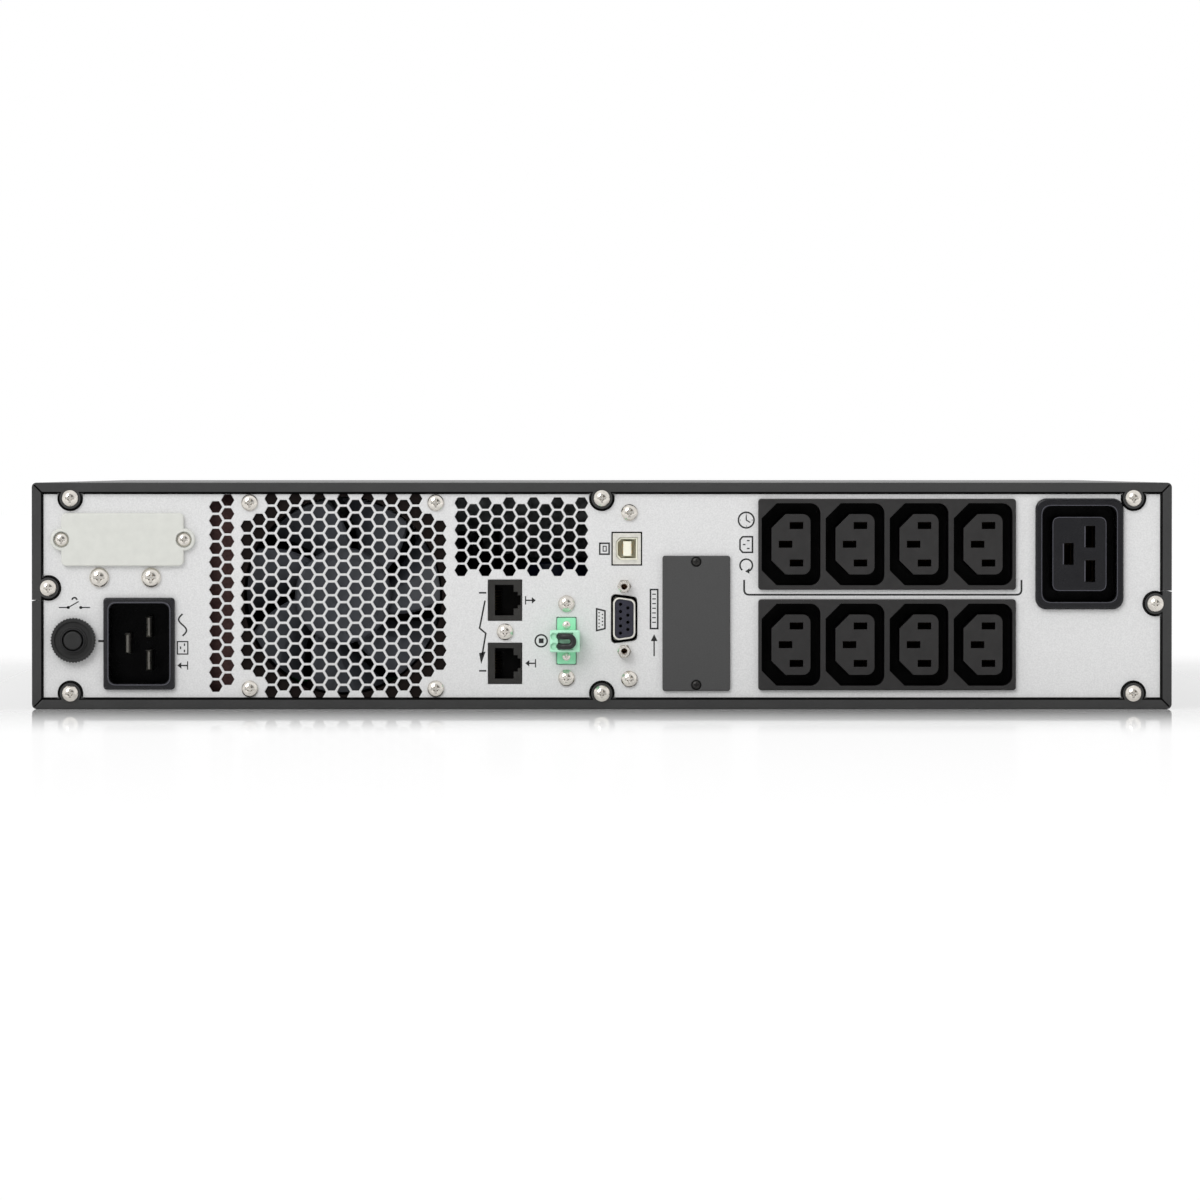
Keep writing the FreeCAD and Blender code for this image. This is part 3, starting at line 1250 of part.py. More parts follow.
def control_bezel():
    body = bezel_shell("control_bezel", "split_x + 0.3", "case_w / 2")
    inside = sketch_on(body, "tray_front")
    rect(inside, "(split_x + case_w / 2) / 2 + 0.15", "mid_z", "case_w / 2 - split_x - 2 * bezel_wall - 0.3",
         "case_h - 2 * bezel_wall - 0.4")
    sink(body, inside, "bezel_front - tray_front - bezel_wall")
    web = sketch_on(body, "tray_front + 4")
    rect(web, "(split_x + case_w / 2) / 2 + 0.15", "mid_z", "case_w / 2 - split_x - 2 * bezel_wall + 0.7",
         "case_h - 2 * bezel_wall + 0.6")
    grow(body, web, "3", inward=True)
    mouth = sketch_on(body, "bezel_front")
    circle(mouth, "dial_x", "mid_z", "dial_r + 0.5")
    sink(body, mouth, "bezel_wall", inward=False)
    collar = sketch_on(body, "bezel_front - 1")
    circle(collar, "dial_x", "mid_z", "dial_r + 2.5")
    circle(collar, "dial_x", "mid_z", "dial_r + 0.5")
    grow(body, collar, "16")
    bore = sketch_on(body, "bezel_front")
    circle(bore, "dial_x", "mid_z", "dial_spigot_r + 0.08")
    sink(body, bore, "32", inward=False)
    corners = sketch_on(body, "bezel_front")
    bosses = sketch_on(body, "bezel_front - 1")
    for a in (-1, 1):
        for b in (-1, 1):
            circle(bosses, f"dial_x + {a} * 47", f"mid_z + {b} * 35.5", "3.4")
            for n in range(3):
                x, z = d.dial_x + a * (43 - 4.6 * n), d.mid_z + b * 35
                draw(corners, box_corners(x, z, 2.4, 8 - 1.6 * n, 1.1))
    sink(body, corners, "bezel_wall", inward=False)
    grow(body, bosses, "bezel_front - frame_y - wall - 1")


KEYS = (("mute_button", -1), ("select_button", 0), ("power_button", 1))


def display():
    """Turnable round display: disc on a spigot, window, and three keys."""
    body = new_body("display_housing")
    disc = sketch_on(body, "dial_front - 17")
    circle(disc, "0", "0", "dial_r")
    grow(body, disc, "17", inward=True)
    soften(body, 1.5, front_rim(d.dial_front))
    spigot = sketch_on(body, "dial_front - 17")
    circle(spigot, "0", "0", "dial_spigot_r")
    grow(body, spigot, "13")
    hollow = sketch_on(body, "dial_front - 30")
    circle(hollow, "0", "0", "dial_spigot_r - 2.5")
    sink(body, hollow, "20")
    recess = sketch_on(body, "dial_front")
    rect(recess, "0", "window_rise", "window_w + 0.4", "window_h + 0.4")
    sink(body, recess, "4", inward=False)
    keys = sketch_on(body, "dial_front")
    for _, side in KEYS:
        circle(keys, f"{side} * key_pitch", "-key_drop", "key_r + 0.15")
    sink(body, keys, "6", inward=False)
    place(body, "dial_x", "0", "mid_z")

    pane = new_body("display_window")
    glass = sketch_on(pane, "dial_front - 4")
    rect(glass, "0", "window_rise", "window_w", "window_h")
    grow(pane, glass, "3.6", inward=True)
    soften(pane, 0.4, front_rim(d.dial_front - 0.4))
    place(pane, "dial_x", "0", "mid_z")

    for label, side in KEYS:
        cap = rod("key_r", ("dial_front - 4.4", "dial_front + 1.2"), f"dial_x + {side} * key_pitch",
                  "mid_z - key_drop")
        keep(eased(cap, 0.6, front_rim(d.dial_front + 1.2)), label)


def build():
    cover("top_cover")
    lower = cover("bottom_cover")
    place(lower, 0, 0, "case_h", FreeCAD.Rotation(V(0, 1, 0), 180))
    rear_panel()
    rear_screws()
    front_frame()
    battery_bay()
    outlet_block("outlet_block_upper", "block_upper_z")
    outlet_block("outlet_block_lower", "block_lower_z")
    large_outlet()
    outlet_contacts()
    mains_inlet()
    breaker()
    terminal_cover()
    surge_jacks()
    emergency_off()
    data_ports()
    card_slot()
    fan()
    boards()
    heatsinks()
    capacitors()
    transformer()
    battery_tray()
    batteries()
    battery_connector()
    drawer_front()
    thumbscrew("thumbscrew_left", "thumb_left_x")
    thumbscrew("thumbscrew_right", "thumb_right_x")
    control_bezel()
    display()


def check_and_export():
    doc.recompute()
    failed = [o.Label for o in doc.Objects if {"Invalid", "Error"} & set(o.State)]
    if failed:
        raise RuntimeError(f"failed objects: {failed}")
    for item in SUBPARTS:
        shape = item.Shape
        if shape.isNull() or not shape.isValid() or not shape.Solids:
            raise RuntimeError(f"{item.Label} has no valid solid")
    os.makedirs("parts", exist_ok=True)
    for item in SUBPARTS:
        item.Shape.exportStep(f"parts/{item.Label}.step")


build()
check_and_export()
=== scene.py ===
"""Looks of the rack-mount power supply: finishes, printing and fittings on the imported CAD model.

Lengths are in millimetres here and become metres as each mesh is made. The rear panel faces -Y.
"""

import math

import bmesh
import bpy
from mathutils import Matrix, Vector, noise


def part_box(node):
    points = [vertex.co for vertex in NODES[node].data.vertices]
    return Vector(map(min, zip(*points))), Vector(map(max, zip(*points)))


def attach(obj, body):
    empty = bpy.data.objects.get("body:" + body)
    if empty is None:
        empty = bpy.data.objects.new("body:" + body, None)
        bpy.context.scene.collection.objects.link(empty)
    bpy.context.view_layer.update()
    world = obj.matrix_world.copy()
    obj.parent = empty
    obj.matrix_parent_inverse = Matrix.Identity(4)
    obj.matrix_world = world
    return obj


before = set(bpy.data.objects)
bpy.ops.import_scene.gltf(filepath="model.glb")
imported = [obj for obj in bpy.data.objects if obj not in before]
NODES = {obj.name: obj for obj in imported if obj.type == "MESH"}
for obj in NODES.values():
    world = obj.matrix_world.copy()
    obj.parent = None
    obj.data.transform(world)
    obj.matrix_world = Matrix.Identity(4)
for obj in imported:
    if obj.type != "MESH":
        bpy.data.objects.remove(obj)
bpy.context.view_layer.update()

MM = 0.001
SCENE = bpy.context.scene
RANGE_SOCKETS = ("From Min", "From Max", "To Min", "To Max")
MIX_A, MIX_B, MIX_RESULT = 6, 7, 2  # the colour sockets of a Mix node


def span(node):
    """Lowest corner, highest corner and middle of a CAD node, in millimetres."""
    low, high = (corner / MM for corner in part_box(node))
    return low, high, (low + high) / 2


PANEL_Y = span("rear_panel")[0].y
REAR_Y = span("top_cover")[0].y
SIDE_X, _, TOP_Z = span("top_cover")[1]
RIM = 4  # width of the covers' folded rear edge
HAIR = 0.03  # thickness of the lines drawn along edges


# Stage --------------------------------------------------------------------------------------------


def camera():
    """A long lens square on to the rear, a little above the top edge."""
    away, aside, height, aim = 3000, -0.7, 93, 41.9
    view_width, sensor = 461, 36
    data = bpy.data.cameras.new("camera")
    data.sensor_width = sensor
    data.lens = sensor * away / view_width
    data.clip_end = 30
    item = bpy.data.objects.new("camera", data)
    item.location = Vector((aside, REAR_Y - away, height)) * MM
    item.rotation_euler = (math.pi / 2 - math.atan((height - aim) / away), 0, 0)
    SCENE.collection.objects.link(item)
    SCENE.camera = item


def studio():
    """White surroundings with a dim patch behind the viewer, a soft key light and a pale floor."""
    world = bpy.data.worlds.new("studio")
    SCENE.world = world
    world.use_nodes = True
    nodes, links = world.node_tree.nodes, world.node_tree.links
    surround = nodes["Background"]
    surround.inputs["Strength"].default_value = 0.88
    around = nodes.new("ShaderNodeTexCoord")
    facing = nodes.new("ShaderNodeVectorMath")
    facing.operation = "DOT_PRODUCT"
    facing.inputs[1].default_value = (0, -1, 0)
    shade = nodes.new("ShaderNodeMapRange")
    shade.interpolation_type = "SMOOTHSTEP"
    for name, value in zip(RANGE_SOCKETS, (0.58, 0.93, 1.0, 0.16)):
        shade.inputs[name].default_value = value
    links.new(around.outputs["Generated"], facing.inputs[0])
    links.new(facing.outputs["Value"], shade.inputs["Value"])
    links.new(shade.outputs["Result"], surround.inputs["Color"])
    backdrop = nodes.new("ShaderNodeBackground")
    backdrop.inputs["Color"].default_value = (1, 1, 1, 1)
    backdrop.inputs["Strength"].default_value = 1.0
    seen = nodes.new("ShaderNodeLightPath")
    either = nodes.new("ShaderNodeMixShader")
    links.new(seen.outputs["Is Camera Ray"], either.inputs[0])
    links.new(surround.outputs[0], either.inputs[1])
    links.new(backdrop.outputs[0], either.inputs[2])
    links.new(either.outputs[0], nodes["World Output"].inputs["Surface"])

    sun = bpy.data.lights.new("key", "SUN")
    sun.energy = 1.27
    sun.angle = math.radians(40)
    key = bpy.data.objects.new("key", sun)
    key.rotation_euler = (math.radians(58), 0, math.radians(-24))
    SCENE.collection.objects.link(key)
    floor()
    SCENE.view_settings.view_transform = "Standard"
    SCENE.view_settings.look = "None"


def floor():
    """A pale floor that mirrors the case where they meet and turns matt further out; near the case
    its tone is also a little darker, a painted contact shadow.
    """
    mesh = bpy.data.meshes.new("floor")
    reach, below = 12, 0.05
    corners = [(-reach, -reach, 0), (reach, -reach, 0), (reach, reach, 0), (-reach, reach, 0)]
    mesh.from_pydata(corners, [], [(0, 1, 2, 3)])
    item = bpy.data.objects.new("floor", mesh)
    item.location.z = -below * MM
    SCENE.collection.objects.link(item)
    finish = Finish("floor", (238, 238, 238), rough=0.03).set(IOR=1.16)
    finish.grain(60, 0.01)
    matt = finish.add("ShaderNodeBsdfDiffuse", Color=colour((252, 252, 252)))
    spot = finish.add("ShaderNodeTexCoord")
    parts = finish.add("ShaderNodeSeparateXYZ")
    finish.join(spot.outputs["Object"], parts.inputs["Vector"])
    gaps = []
    for axis, half in (("X", SIDE_X), ("Y", -REAR_Y)):
        size = finish.math("ABSOLUTE", parts.outputs[axis])
        gaps.append(finish.math("SUBTRACT", size, half * MM))
    gap = finish.math("MAXIMUM", *gaps)
    # Painted shadow: near the case the floor takes the glossy finish, a shade darker than the matt
    # white further out.
    close = finish.ranged(gap, low=1.0, high=0.07, start=0.0, end=0.3)
    close.node.interpolation_type = "SMOOTHSTEP"
    near = finish.math("MULTIPLY", close, finish.ranged(gap, low=1.0, high=0.0, start=0.0, end=1.1))
    blend = finish.add("ShaderNodeMixShader")
    finish.join(near, blend.inputs[0])
    finish.join(matt.outputs[0], blend.inputs[1])
    finish.join(finish.shader.outputs[0], blend.inputs[2])
    finish.join(blend.outputs[0], finish.tree.nodes["Material Output"].inputs["Surface"])
    mesh.materials.append(finish.material)


# Finishes -----------------------------------------------------------------------------------------


def linear(value):
    """A display value from 0 to 255 as linear light."""
    v = value / 255
    return v / 12.92 if v <= 0.04045 else ((v + 0.055) / 1.055) ** 2.4


def colour(tone):
    """Three display values as a linear colour with full alpha."""
    return (*(linear(v) for v in tone), 1)


class Finish:
    """A Principled material whose colour, roughness and relief come from noise in object space."""

    def __init__(self, name, tone, rough=0.5, metallic=0.0):
        self.material = bpy.data.materials.new(name)
        self.material.use_nodes = True
        self.tree = self.material.node_tree
        self.shader = self.tree.nodes["Principled BSDF"]
        self.tone = [linear(v) for v in tone]
        self.set(Roughness=rough, Metallic=metallic)
        self.shader.inputs["Base Color"].default_value = (*self.tone, 1)
        self.bump = None

    def set(self, **sockets):
        """Sets shader sockets by name, with _ for a space."""
        for name, value in sockets.items():
            self.shader.inputs[name.replace("_", " ")].default_value = value
        return self

    def add(self, kind, **inputs):
        """A new node with some of its inputs set."""
        node = self.tree.nodes.new(kind)
        for name, value in inputs.items():
            node.inputs[name].default_value = value
        return node

    def join(self, output, target):
        self.tree.links.new(output, target)

    def math(self, operation, *values):
        """A sum on floats and on other nodes' outputs."""
        node = self.add("ShaderNodeMath")
        node.operation = operation
        for socket, value in zip(node.inputs, values):
            if isinstance(value, float):
                socket.default_value = value
            else:
                self.join(value, socket)
        return node.outputs[0]

    def field(self, size, stretch=(1, 1, 1), detail=3.0):
        """Noise whose features are size millimetres across, stretched along the axes."""
        place = self.add("ShaderNodeTexCoord")
        shape = self.add("ShaderNodeMapping")
        shape.inputs["Scale"].default_value = [1 / (size * MM * s) for s in stretch]
        texture = self.add("ShaderNodeTexNoise", Scale=1.0, Detail=detail)
        self.join(place.outputs["Object"], shape.inputs["Vector"])
        self.join(shape.outputs["Vector"], texture.inputs["Vector"])
        return texture.outputs["Fac"]

    def ranged(self, field, low, high, start=0.3, end=0.7):
        """Stretches the part of a field between start and end to run from low to high."""
        spread = self.add("ShaderNodeMapRange")
        for name, value in zip(RANGE_SOCKETS, (start, end, low, high)):
            spread.inputs[name].default_value = value
        self.join(field, spread.inputs["Value"])
        return spread.outputs["Result"]

    def mottle(self, size, amount, stretch=(1, 1, 1)):
        """Colour drifts either side of the tone."""
        mix = self.add("ShaderNodeMix")
        mix.data_type = "RGBA"
        mix.inputs[MIX_A].default_value = (*(min(v * (1 + amount), 1) for v in self.tone), 1)
        mix.inputs[MIX_B].default_value = (*(v * (1 - amount) for v in self.tone), 1)
        self.join(self.ranged(self.field(size, stretch), 0, 1), mix.inputs[0])
        self.join(mix.outputs[MIX_RESULT], self.shader.inputs["Base Color"])
        return self

    def smudge(self, size, low, high, stretch=(1, 1, 1)):
        """Roughness drifts between two values."""
        drift = self.ranged(self.field(size, stretch), low, high)
        self.join(drift, self.shader.inputs["Roughness"])
        return self

    def painted_recess_shade(self, start=0.08, end=0.36, share=0.8, dull=0.06):
        """Painted shade inside a housing: colour darkens towards black and shine fades with depth
        behind its face.
        """
        place = self.add("ShaderNodeTexCoord")
        parts = self.add("ShaderNodeSeparateXYZ")
        self.join(place.outputs["Generated"], parts.inputs["Vector"])
        fade = self.add("ShaderNodeMix")
        fade.data_type = "RGBA"
        self.join(self.ranged(parts.outputs["Y"], 0, share, start, end), fade.inputs[0])
        self.join(self.shader.inputs["Base Color"].links[0].from_socket, fade.inputs[MIX_A])
        fade.inputs[MIX_B].default_value = (0, 0, 0, 1)
        self.join(fade.outputs[MIX_RESULT], self.shader.inputs["Base Color"])
        shine = self.shader.inputs["Specular IOR Level"]
        self.join(self.ranged(parts.outputs["Y"], shine.default_value, dull, start, end), shine)
        return self

    def soft_edges(self, radius):
        """Catches the light along edges as if they were rounded, without changing the mesh."""
        self.bump = self.add("ShaderNodeBevel", Radius=radius * MM)
        self.bump.samples = 4
        return self

    def grain(self, size, depth, stretch=(1, 1, 1)):
        """Surface relief of a size and a depth in millimetres, on top of any that is there."""
        bump = self.add("ShaderNodeBump", Strength=1.0, Distance=depth * MM)
        self.join(self.field(size, stretch, detail=2.0), bump.inputs["Height"])
        if self.bump:
            self.join(self.bump.outputs["Normal"], bump.inputs["Normal"])
        self.join(bump.outputs["Normal"], self.shader.inputs["Normal"])
        self.bump = bump
        return self


def powder_coat(name, tone, rough):
    """Baked powder: orange peel with a finer pebble, and a fleck of lighter and darker grains."""
    finish = Finish(name, tone, rough)
    finish.mottle(0.55, 0.075).smudge(9, rough - 0.05, rough + 0.06)
    return finish.soft_edges(0.7).grain(1.6, 0.035).grain(0.45, 0.03)


def moulding(name, tone, rough, fleck=0.10, spec=0.3):
    """Spark-eroded moulded plastic."""
    finish = Finish(name, tone, rough).set(Specular_IOR_Level=spec)
    finish.mottle(3.5, fleck).smudge(6, rough - 0.07, rough + 0.07)
    return finish.soft_edges(0.35).grain(0.30, 0.012).grain(14, 0.05)


def gloss(name, tone, rough):
    finish = Finish(name, tone, rough)
    finish.mottle(8, 0.06).smudge(16, rough, rough + 0.1)
    return finish.grain(22, 0.02)


def plated(name, tone, rough, brush=(1, 1, 1)):
    """Plated or bare metal with fine scratches and slightly tarnished patches."""
    finish = Finish(name, tone, rough, metallic=1.0)
    finish.mottle(2.2, 0.10).smudge(1.4, rough - 0.06, rough + 0.12, brush)
    return finish.grain(0.16, 0.004, brush)


def board_mask():
    """Green solder mask over a grid of copper tracks."""
    finish = Finish("solder_mask", (24, 92, 48), 0.32)
    tracks = finish.add("ShaderNodeTexBrick", **{
        "Scale": 1.0, "Mortar Size": 0.05, "Brick Width": 2.3, "Row Height": 0.9,
        "Color1": colour((20, 84, 42)), "Color2": colour((30, 106, 54)),
        "Mortar": colour((58, 140, 78)),
    })
    pitch = 3 * MM
    place = finish.add("ShaderNodeTexCoord")
    scale = finish.add("ShaderNodeMapping", Scale=[1 / pitch] * 3)
    finish.join(place.outputs["Object"], scale.inputs["Vector"])
    finish.join(scale.outputs["Vector"], tracks.inputs["Vector"])
    finish.join(tracks.outputs["Color"], finish.shader.inputs["Base Color"])
    return finish.grain(5, 0.03)


def laminations():
    """Varnished transformer steel: thin sheets stacked one on another."""
    finish = Finish("laminations", (74, 70, 68), 0.45, metallic=0.6)
    finish.mottle(0.5, 0.28, (40, 40, 1)).smudge(5, 0.38, 0.6)
    return finish.grain(0.5, 0.08, (60, 60, 1)).grain(0.8, 0.02)


def lit(name, tone, strength):
    """A lit segment of the display."""
    finish = Finish(name, tone, 0.4).mottle(0.5, 0.08)
    finish.shader.inputs["Emission Color"].default_value = (*finish.tone, 1)
    finish.shader.inputs["Emission Strength"].default_value = strength
    return finish


def finishes():
    """Every finish by name."""
    made = {
        "cover": powder_coat("cover_coat", (50, 50, 50), 0.36),
        "panel": powder_coat("panel_coat", (219, 219, 219), 0.55),
        "slot": powder_coat("slot_coat", (62, 62, 62), 0.5),
        "zinc": plated("zinc_sheet", (176, 180, 182), 0.4, (8, 1, 1)),
        "nickel": plated("nickel_plate", (232, 227, 219), 0.14),
        # Partly painted shade: plating darker than bare metal so the inlet pins read dim in their
        # deep cavity; the battery terminals share it.
        "pin": plated("pin_plate", (118, 116, 110), 0.3),
        "shell": plated("port_shell", (226, 224, 216), 0.42).set(Metallic=0.5),
        "dark_screw": plated("black_oxide", (64, 63, 62), 0.42),
        "brass": plated("turned_brass", (168, 138, 76), 0.35),
        # Painted shade: brass darkened almost to black, for contacts deep in the outlet slots.
        "contact": plated("contact_brass", (34, 27, 18), 0.5),
        "gold": plated("gold_flash", (228, 184, 92), 0.22),
        "dull_gold": plated("spring_contacts", (84, 74, 52), 0.4),
        "aluminium": plated("black_anodised", (38, 38, 40), 0.5, (1, 30, 1)),
        "copper": plated("coil_tape", (150, 86, 48), 0.45, (1, 8, 1)),
        "white_cover": moulding("white_cover", (214, 215, 209), 0.5, 0.03),
        "white": moulding("white_nylon", (236, 235, 228), 0.38, 0.03),
        "ivory": moulding("port_insulator", (244, 243, 226), 0.4, 0.03),
        # Painted shade: the outlet, large outlet and inlet housings darken towards black with depth
        # behind their faces.
        "block": moulding("outlet_moulding", (42, 41, 41), 0.42).painted_recess_shade(),
        "big_outlet": moulding("large_outlet_moulding", (10, 10, 16), 0.24, spec=0.4).painted_recess_shade(),
        "inlet": moulding("inlet_moulding", (16, 15, 21), 0.24, spec=0.5).painted_recess_shade(),
        "black": moulding("black_nylon", (34, 34, 35), 0.45),
        "knurl": moulding("ring_nut", (38, 38, 38), 0.5),
        # Painted shade: the surge jacks darken towards black with depth behind their faces.
        "jack": moulding("jack_moulding", (44, 43, 41), 0.42).painted_recess_shade(0.03, 0.5, 0.75),
        "green": moulding("green_moulding", (158, 234, 190), 0.36, 0.05),
        "plug": moulding("plug_moulding", (186, 242, 210), 0.36, 0.05),
        "fan": moulding("fan_moulding", (74, 76, 82), 0.34),
        "insert": moulding("serial_moulding", (44, 44, 56), 0.45),
        "wire": gloss("wire_jacket", (26, 26, 27), 0.4),
        "red_wire": gloss("red_jacket", (168, 26, 22), 0.4),
        "battery": moulding("battery_case", (58, 59, 63), 0.5),
        "lead": plated("lead_plates", (110, 112, 118), 0.6),
        "front": moulding("bezel_moulding", (40, 40, 42), 0.46),
        "display": gloss("display_gloss", (18, 18, 21), 0.12),
        "glass": gloss("smoked_acrylic", (22, 30, 44), 0.06),
        "key": moulding("key_cap", (126, 128, 132), 0.4),
        "can": gloss("can_sleeve", (28, 34, 62), 0.3),
        "ink": Finish("ink", (22, 22, 23), 0.7).mottle(0.3, 0.16).smudge(1.2, 0.5, 0.7),
        "legend": Finish("legend", (224, 226, 228), 0.5).mottle(0.3, 0.05).smudge(1.2, 0.45, 0.6),
        # Painted shade: dim brown standing for the dimly lit inside of the case behind the side
        # vent.
        "interior_shade": (
            Finish("painted_interior_shade", (86, 60, 58), 0.85)
            .mottle(1.4, 0.22).smudge(4, 0.75, 0.95).grain(0.5, 0.05)
        ),
        # Painted shadow: near-black lines laid where shade falls in seams, mitres and port gaps.
        "shadow": moulding("painted_gap_shadow", (3, 3, 3), 0.8, spec=0.05),
        # Painted highlight: light grey lines where rounded edges of the inlet and large outlet
        # catch the light.
        "edge_highlight": moulding("painted_edge_highlight", (74, 74, 82), 0.4, spec=0.4),
        "foam": Finish("filter_foam", (22, 22, 23), 0.9).mottle(0.8, 0.4).grain(0.9, 0.6),
        "fan_black": moulding("fan_frame_moulding", (20, 12, 10), 0.6, spec=0.12),
        "thread": plated("thread_flanks", (150, 120, 96), 0.5),
        "board": board_mask(),
        "core": laminations(),
        "lit_white": lit("lit_white", (214, 232, 255), 1.3),
        "lit_green": lit("lit_green", (60, 230, 110), 1.6),
        "unlit": gloss("unlit_lens", (86, 52, 40), 0.2),
    }
    return {name: finish.material for name, finish in made.items()}


NODE_FINISH = {
    "cover": ("top_cover", "bottom_cover"),
    "panel": ("rear_panel",),
    "slot": ("slot_cover",),
    "zinc": ("front_frame", "bay_divider", "battery_tray", "transformer_bracket"),
    "nickel": (
        "cover_screws", "fan_screws", "terminal_cover_screws", "panel_screws", "epo_header_screws",
        "serial_jackscrews", "thumbscrew_left", "thumbscrew_right",
    ),
    "pin": ("inlet_pins", "battery_terminals"),
    "shell": ("usb_shell", "serial_shell"),
    "dark_screw": ("slot_cover_screws",),
    "brass": ("board_standoffs",),
    "contact": ("outlet_contacts",),
    "dull_gold": ("jack_contacts",),
    "aluminium": ("heatsinks",),
    "copper": ("transformer_windings",),
    "white_cover": ("terminal_cover",),
    "white": ("bay_rails",),
    "ivory": ("usb_tongue",),
    "block": ("outlet_block_upper", "outlet_block_lower"),
    "big_outlet": ("large_outlet_housing",),
    "inlet": ("inlet_housing",),
    "black": ("breaker_body", "card_guides", "battery_plug", "battery_socket"),
    "knurl": ("breaker_nut", "breaker_button"),
    "jack": ("surge_jacks",),
    "green": ("epo_header",),
    "plug": ("epo_plug",),
    "fan": ("fan_rotor",),
    "fan_black": ("fan_frame",),
    "insert": ("serial_insert",),
    "wire": ("epo_loop_wire",),
    "battery": ("battery_cases",),
    "lead": ("battery_cells",),
    "front": ("drawer_front", "control_bezel"),
    "display": ("display_housing",),
    "glass": ("display_window",),
    "key": ("mute_button", "select_button", "power_button"),
    "can": ("bus_capacitors",),
    "board": ("main_board", "comm_board", "surge_board"),
    "core": ("transformer_core",),
}


def dress_nodes(finish):
    for name, nodes in NODE_FINISH.items():
        for node in nodes:
            mesh = NODES[node].data
            mesh.materials.clear()
            mesh.materials.append(finish[name])


# Printing and flat marks --------------------------------------------------------------------------


class Print:
    """Flat marks that stand proud of a face that looks along -Y or +Y."""

    def __init__(self, y, looks=-1, thick=0.05):
        self.mesh = bmesh.new()
        self.y, self.looks, self.thick = y, looks, thick

    def area(self, points):
        """A filled outline of (x, z) points."""
        lift = self.looks * self.thick
        base = [self.mesh.verts.new((x, self.y, z)) for x, z in points]
        top = [self.mesh.verts.new((x, self.y + lift, z)) for x, z in points]
        self.mesh.faces.new(top)
        self.mesh.faces.new(base)
        for k in range(len(points)):
            n = (k + 1) % len(points)
            self.mesh.faces.new((base[k], base[n], top[n], top[k]))

    def line(self, points, width=0.6, closed=False):
        """A stroke of even width along (x, z) points, mitred at its corners."""
        path = [Vector(p) for p in points]
        count = len(path)
        runs = [(after - here).normalized() for here, after in zip(path, path[1:] + path[:1])]
        bluntest = 0.35
        left, right = [], []
        for k, here in enumerate(path):
            ahead = runs[k] if closed or k < count - 1 else runs[k - 1]
            back = runs[k - 1] if closed or k else runs[k]
            normal = Vector((-back.y - ahead.y, back.x + ahead.x)).normalized()
            reach = width / 2 / max(normal.dot(Vector((-ahead.y, ahead.x))), bluntest)
            left.append(here + normal * reach)
            right.append(here - normal * reach)
        for k in range(count if closed else count - 1):
            n = (k + 1) % count
            self.area([left[k], left[n], right[n], right[k]])

    def ring(self, x, z, radius, width=0.6, start=0.0, sweep=360.0, steps=40):
        """A circle, or an arc from a start angle through a sweep in degrees."""
        count = steps if sweep >= 360 else steps + 1
        turns = [math.radians(start + sweep * k / steps) for k in range(count)]
        points = [(x + radius * math.cos(a), z + radius * math.sin(a)) for a in turns]
        self.line(points, width, closed=sweep >= 360)

    def dot(self, x, z, radius, steps=20):
        turns = [2 * math.pi * k / steps for k in range(steps)]
        self.area([(x + radius * math.cos(a), z + radius * math.sin(a)) for a in turns])

    def fill(self, left, low, right, high):
        self.area([(left, low), (right, low), (right, high), (left, high)])

    def box(self, x, z, width, height, stroke=0.6):
        w, h = width / 2, height / 2
        self.line([(x - w, z - h), (x + w, z - h), (x + w, z + h), (x - w, z + h)], stroke, True)

    def done(self, name, material, body):
        bmesh.ops.recalc_face_normals(self.mesh, faces=self.mesh.faces)
        return piece(name, self.mesh, material, body)


def piece(name, mesh, material, body, smooth=False):
    """Turns a bmesh in millimetres into an object that rides on a body."""
    bmesh.ops.scale(mesh, vec=(MM, MM, MM), verts=mesh.verts)
    data = bpy.data.meshes.new(name)
    mesh.to_mesh(data)
    mesh.free()
    data.materials.append(material)
    for face in data.polygons:
        face.use_smooth = smooth
    item = bpy.data.objects.new(name, data)
    SCENE.collection.objects.link(item)
    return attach(item, body)


def bent_line(corners, radius, steps=6):
    """(x, z) points along straight runs with an arc at each inner corner."""
    points = [Vector(corners[0])]
    for back, here, ahead in zip(corners, corners[1:], corners[2:]):
        here = Vector(here)
        start = here + (Vector(back) - here).normalized() * radius
        end = here + (Vector(ahead) - here).normalized() * radius
        for k in range(steps + 1):
            t = k / steps
            points.append(start * (1 - t) ** 2 + here * 2 * t * (1 - t) + end * t ** 2)
    return points + [Vector(corners[-1])]


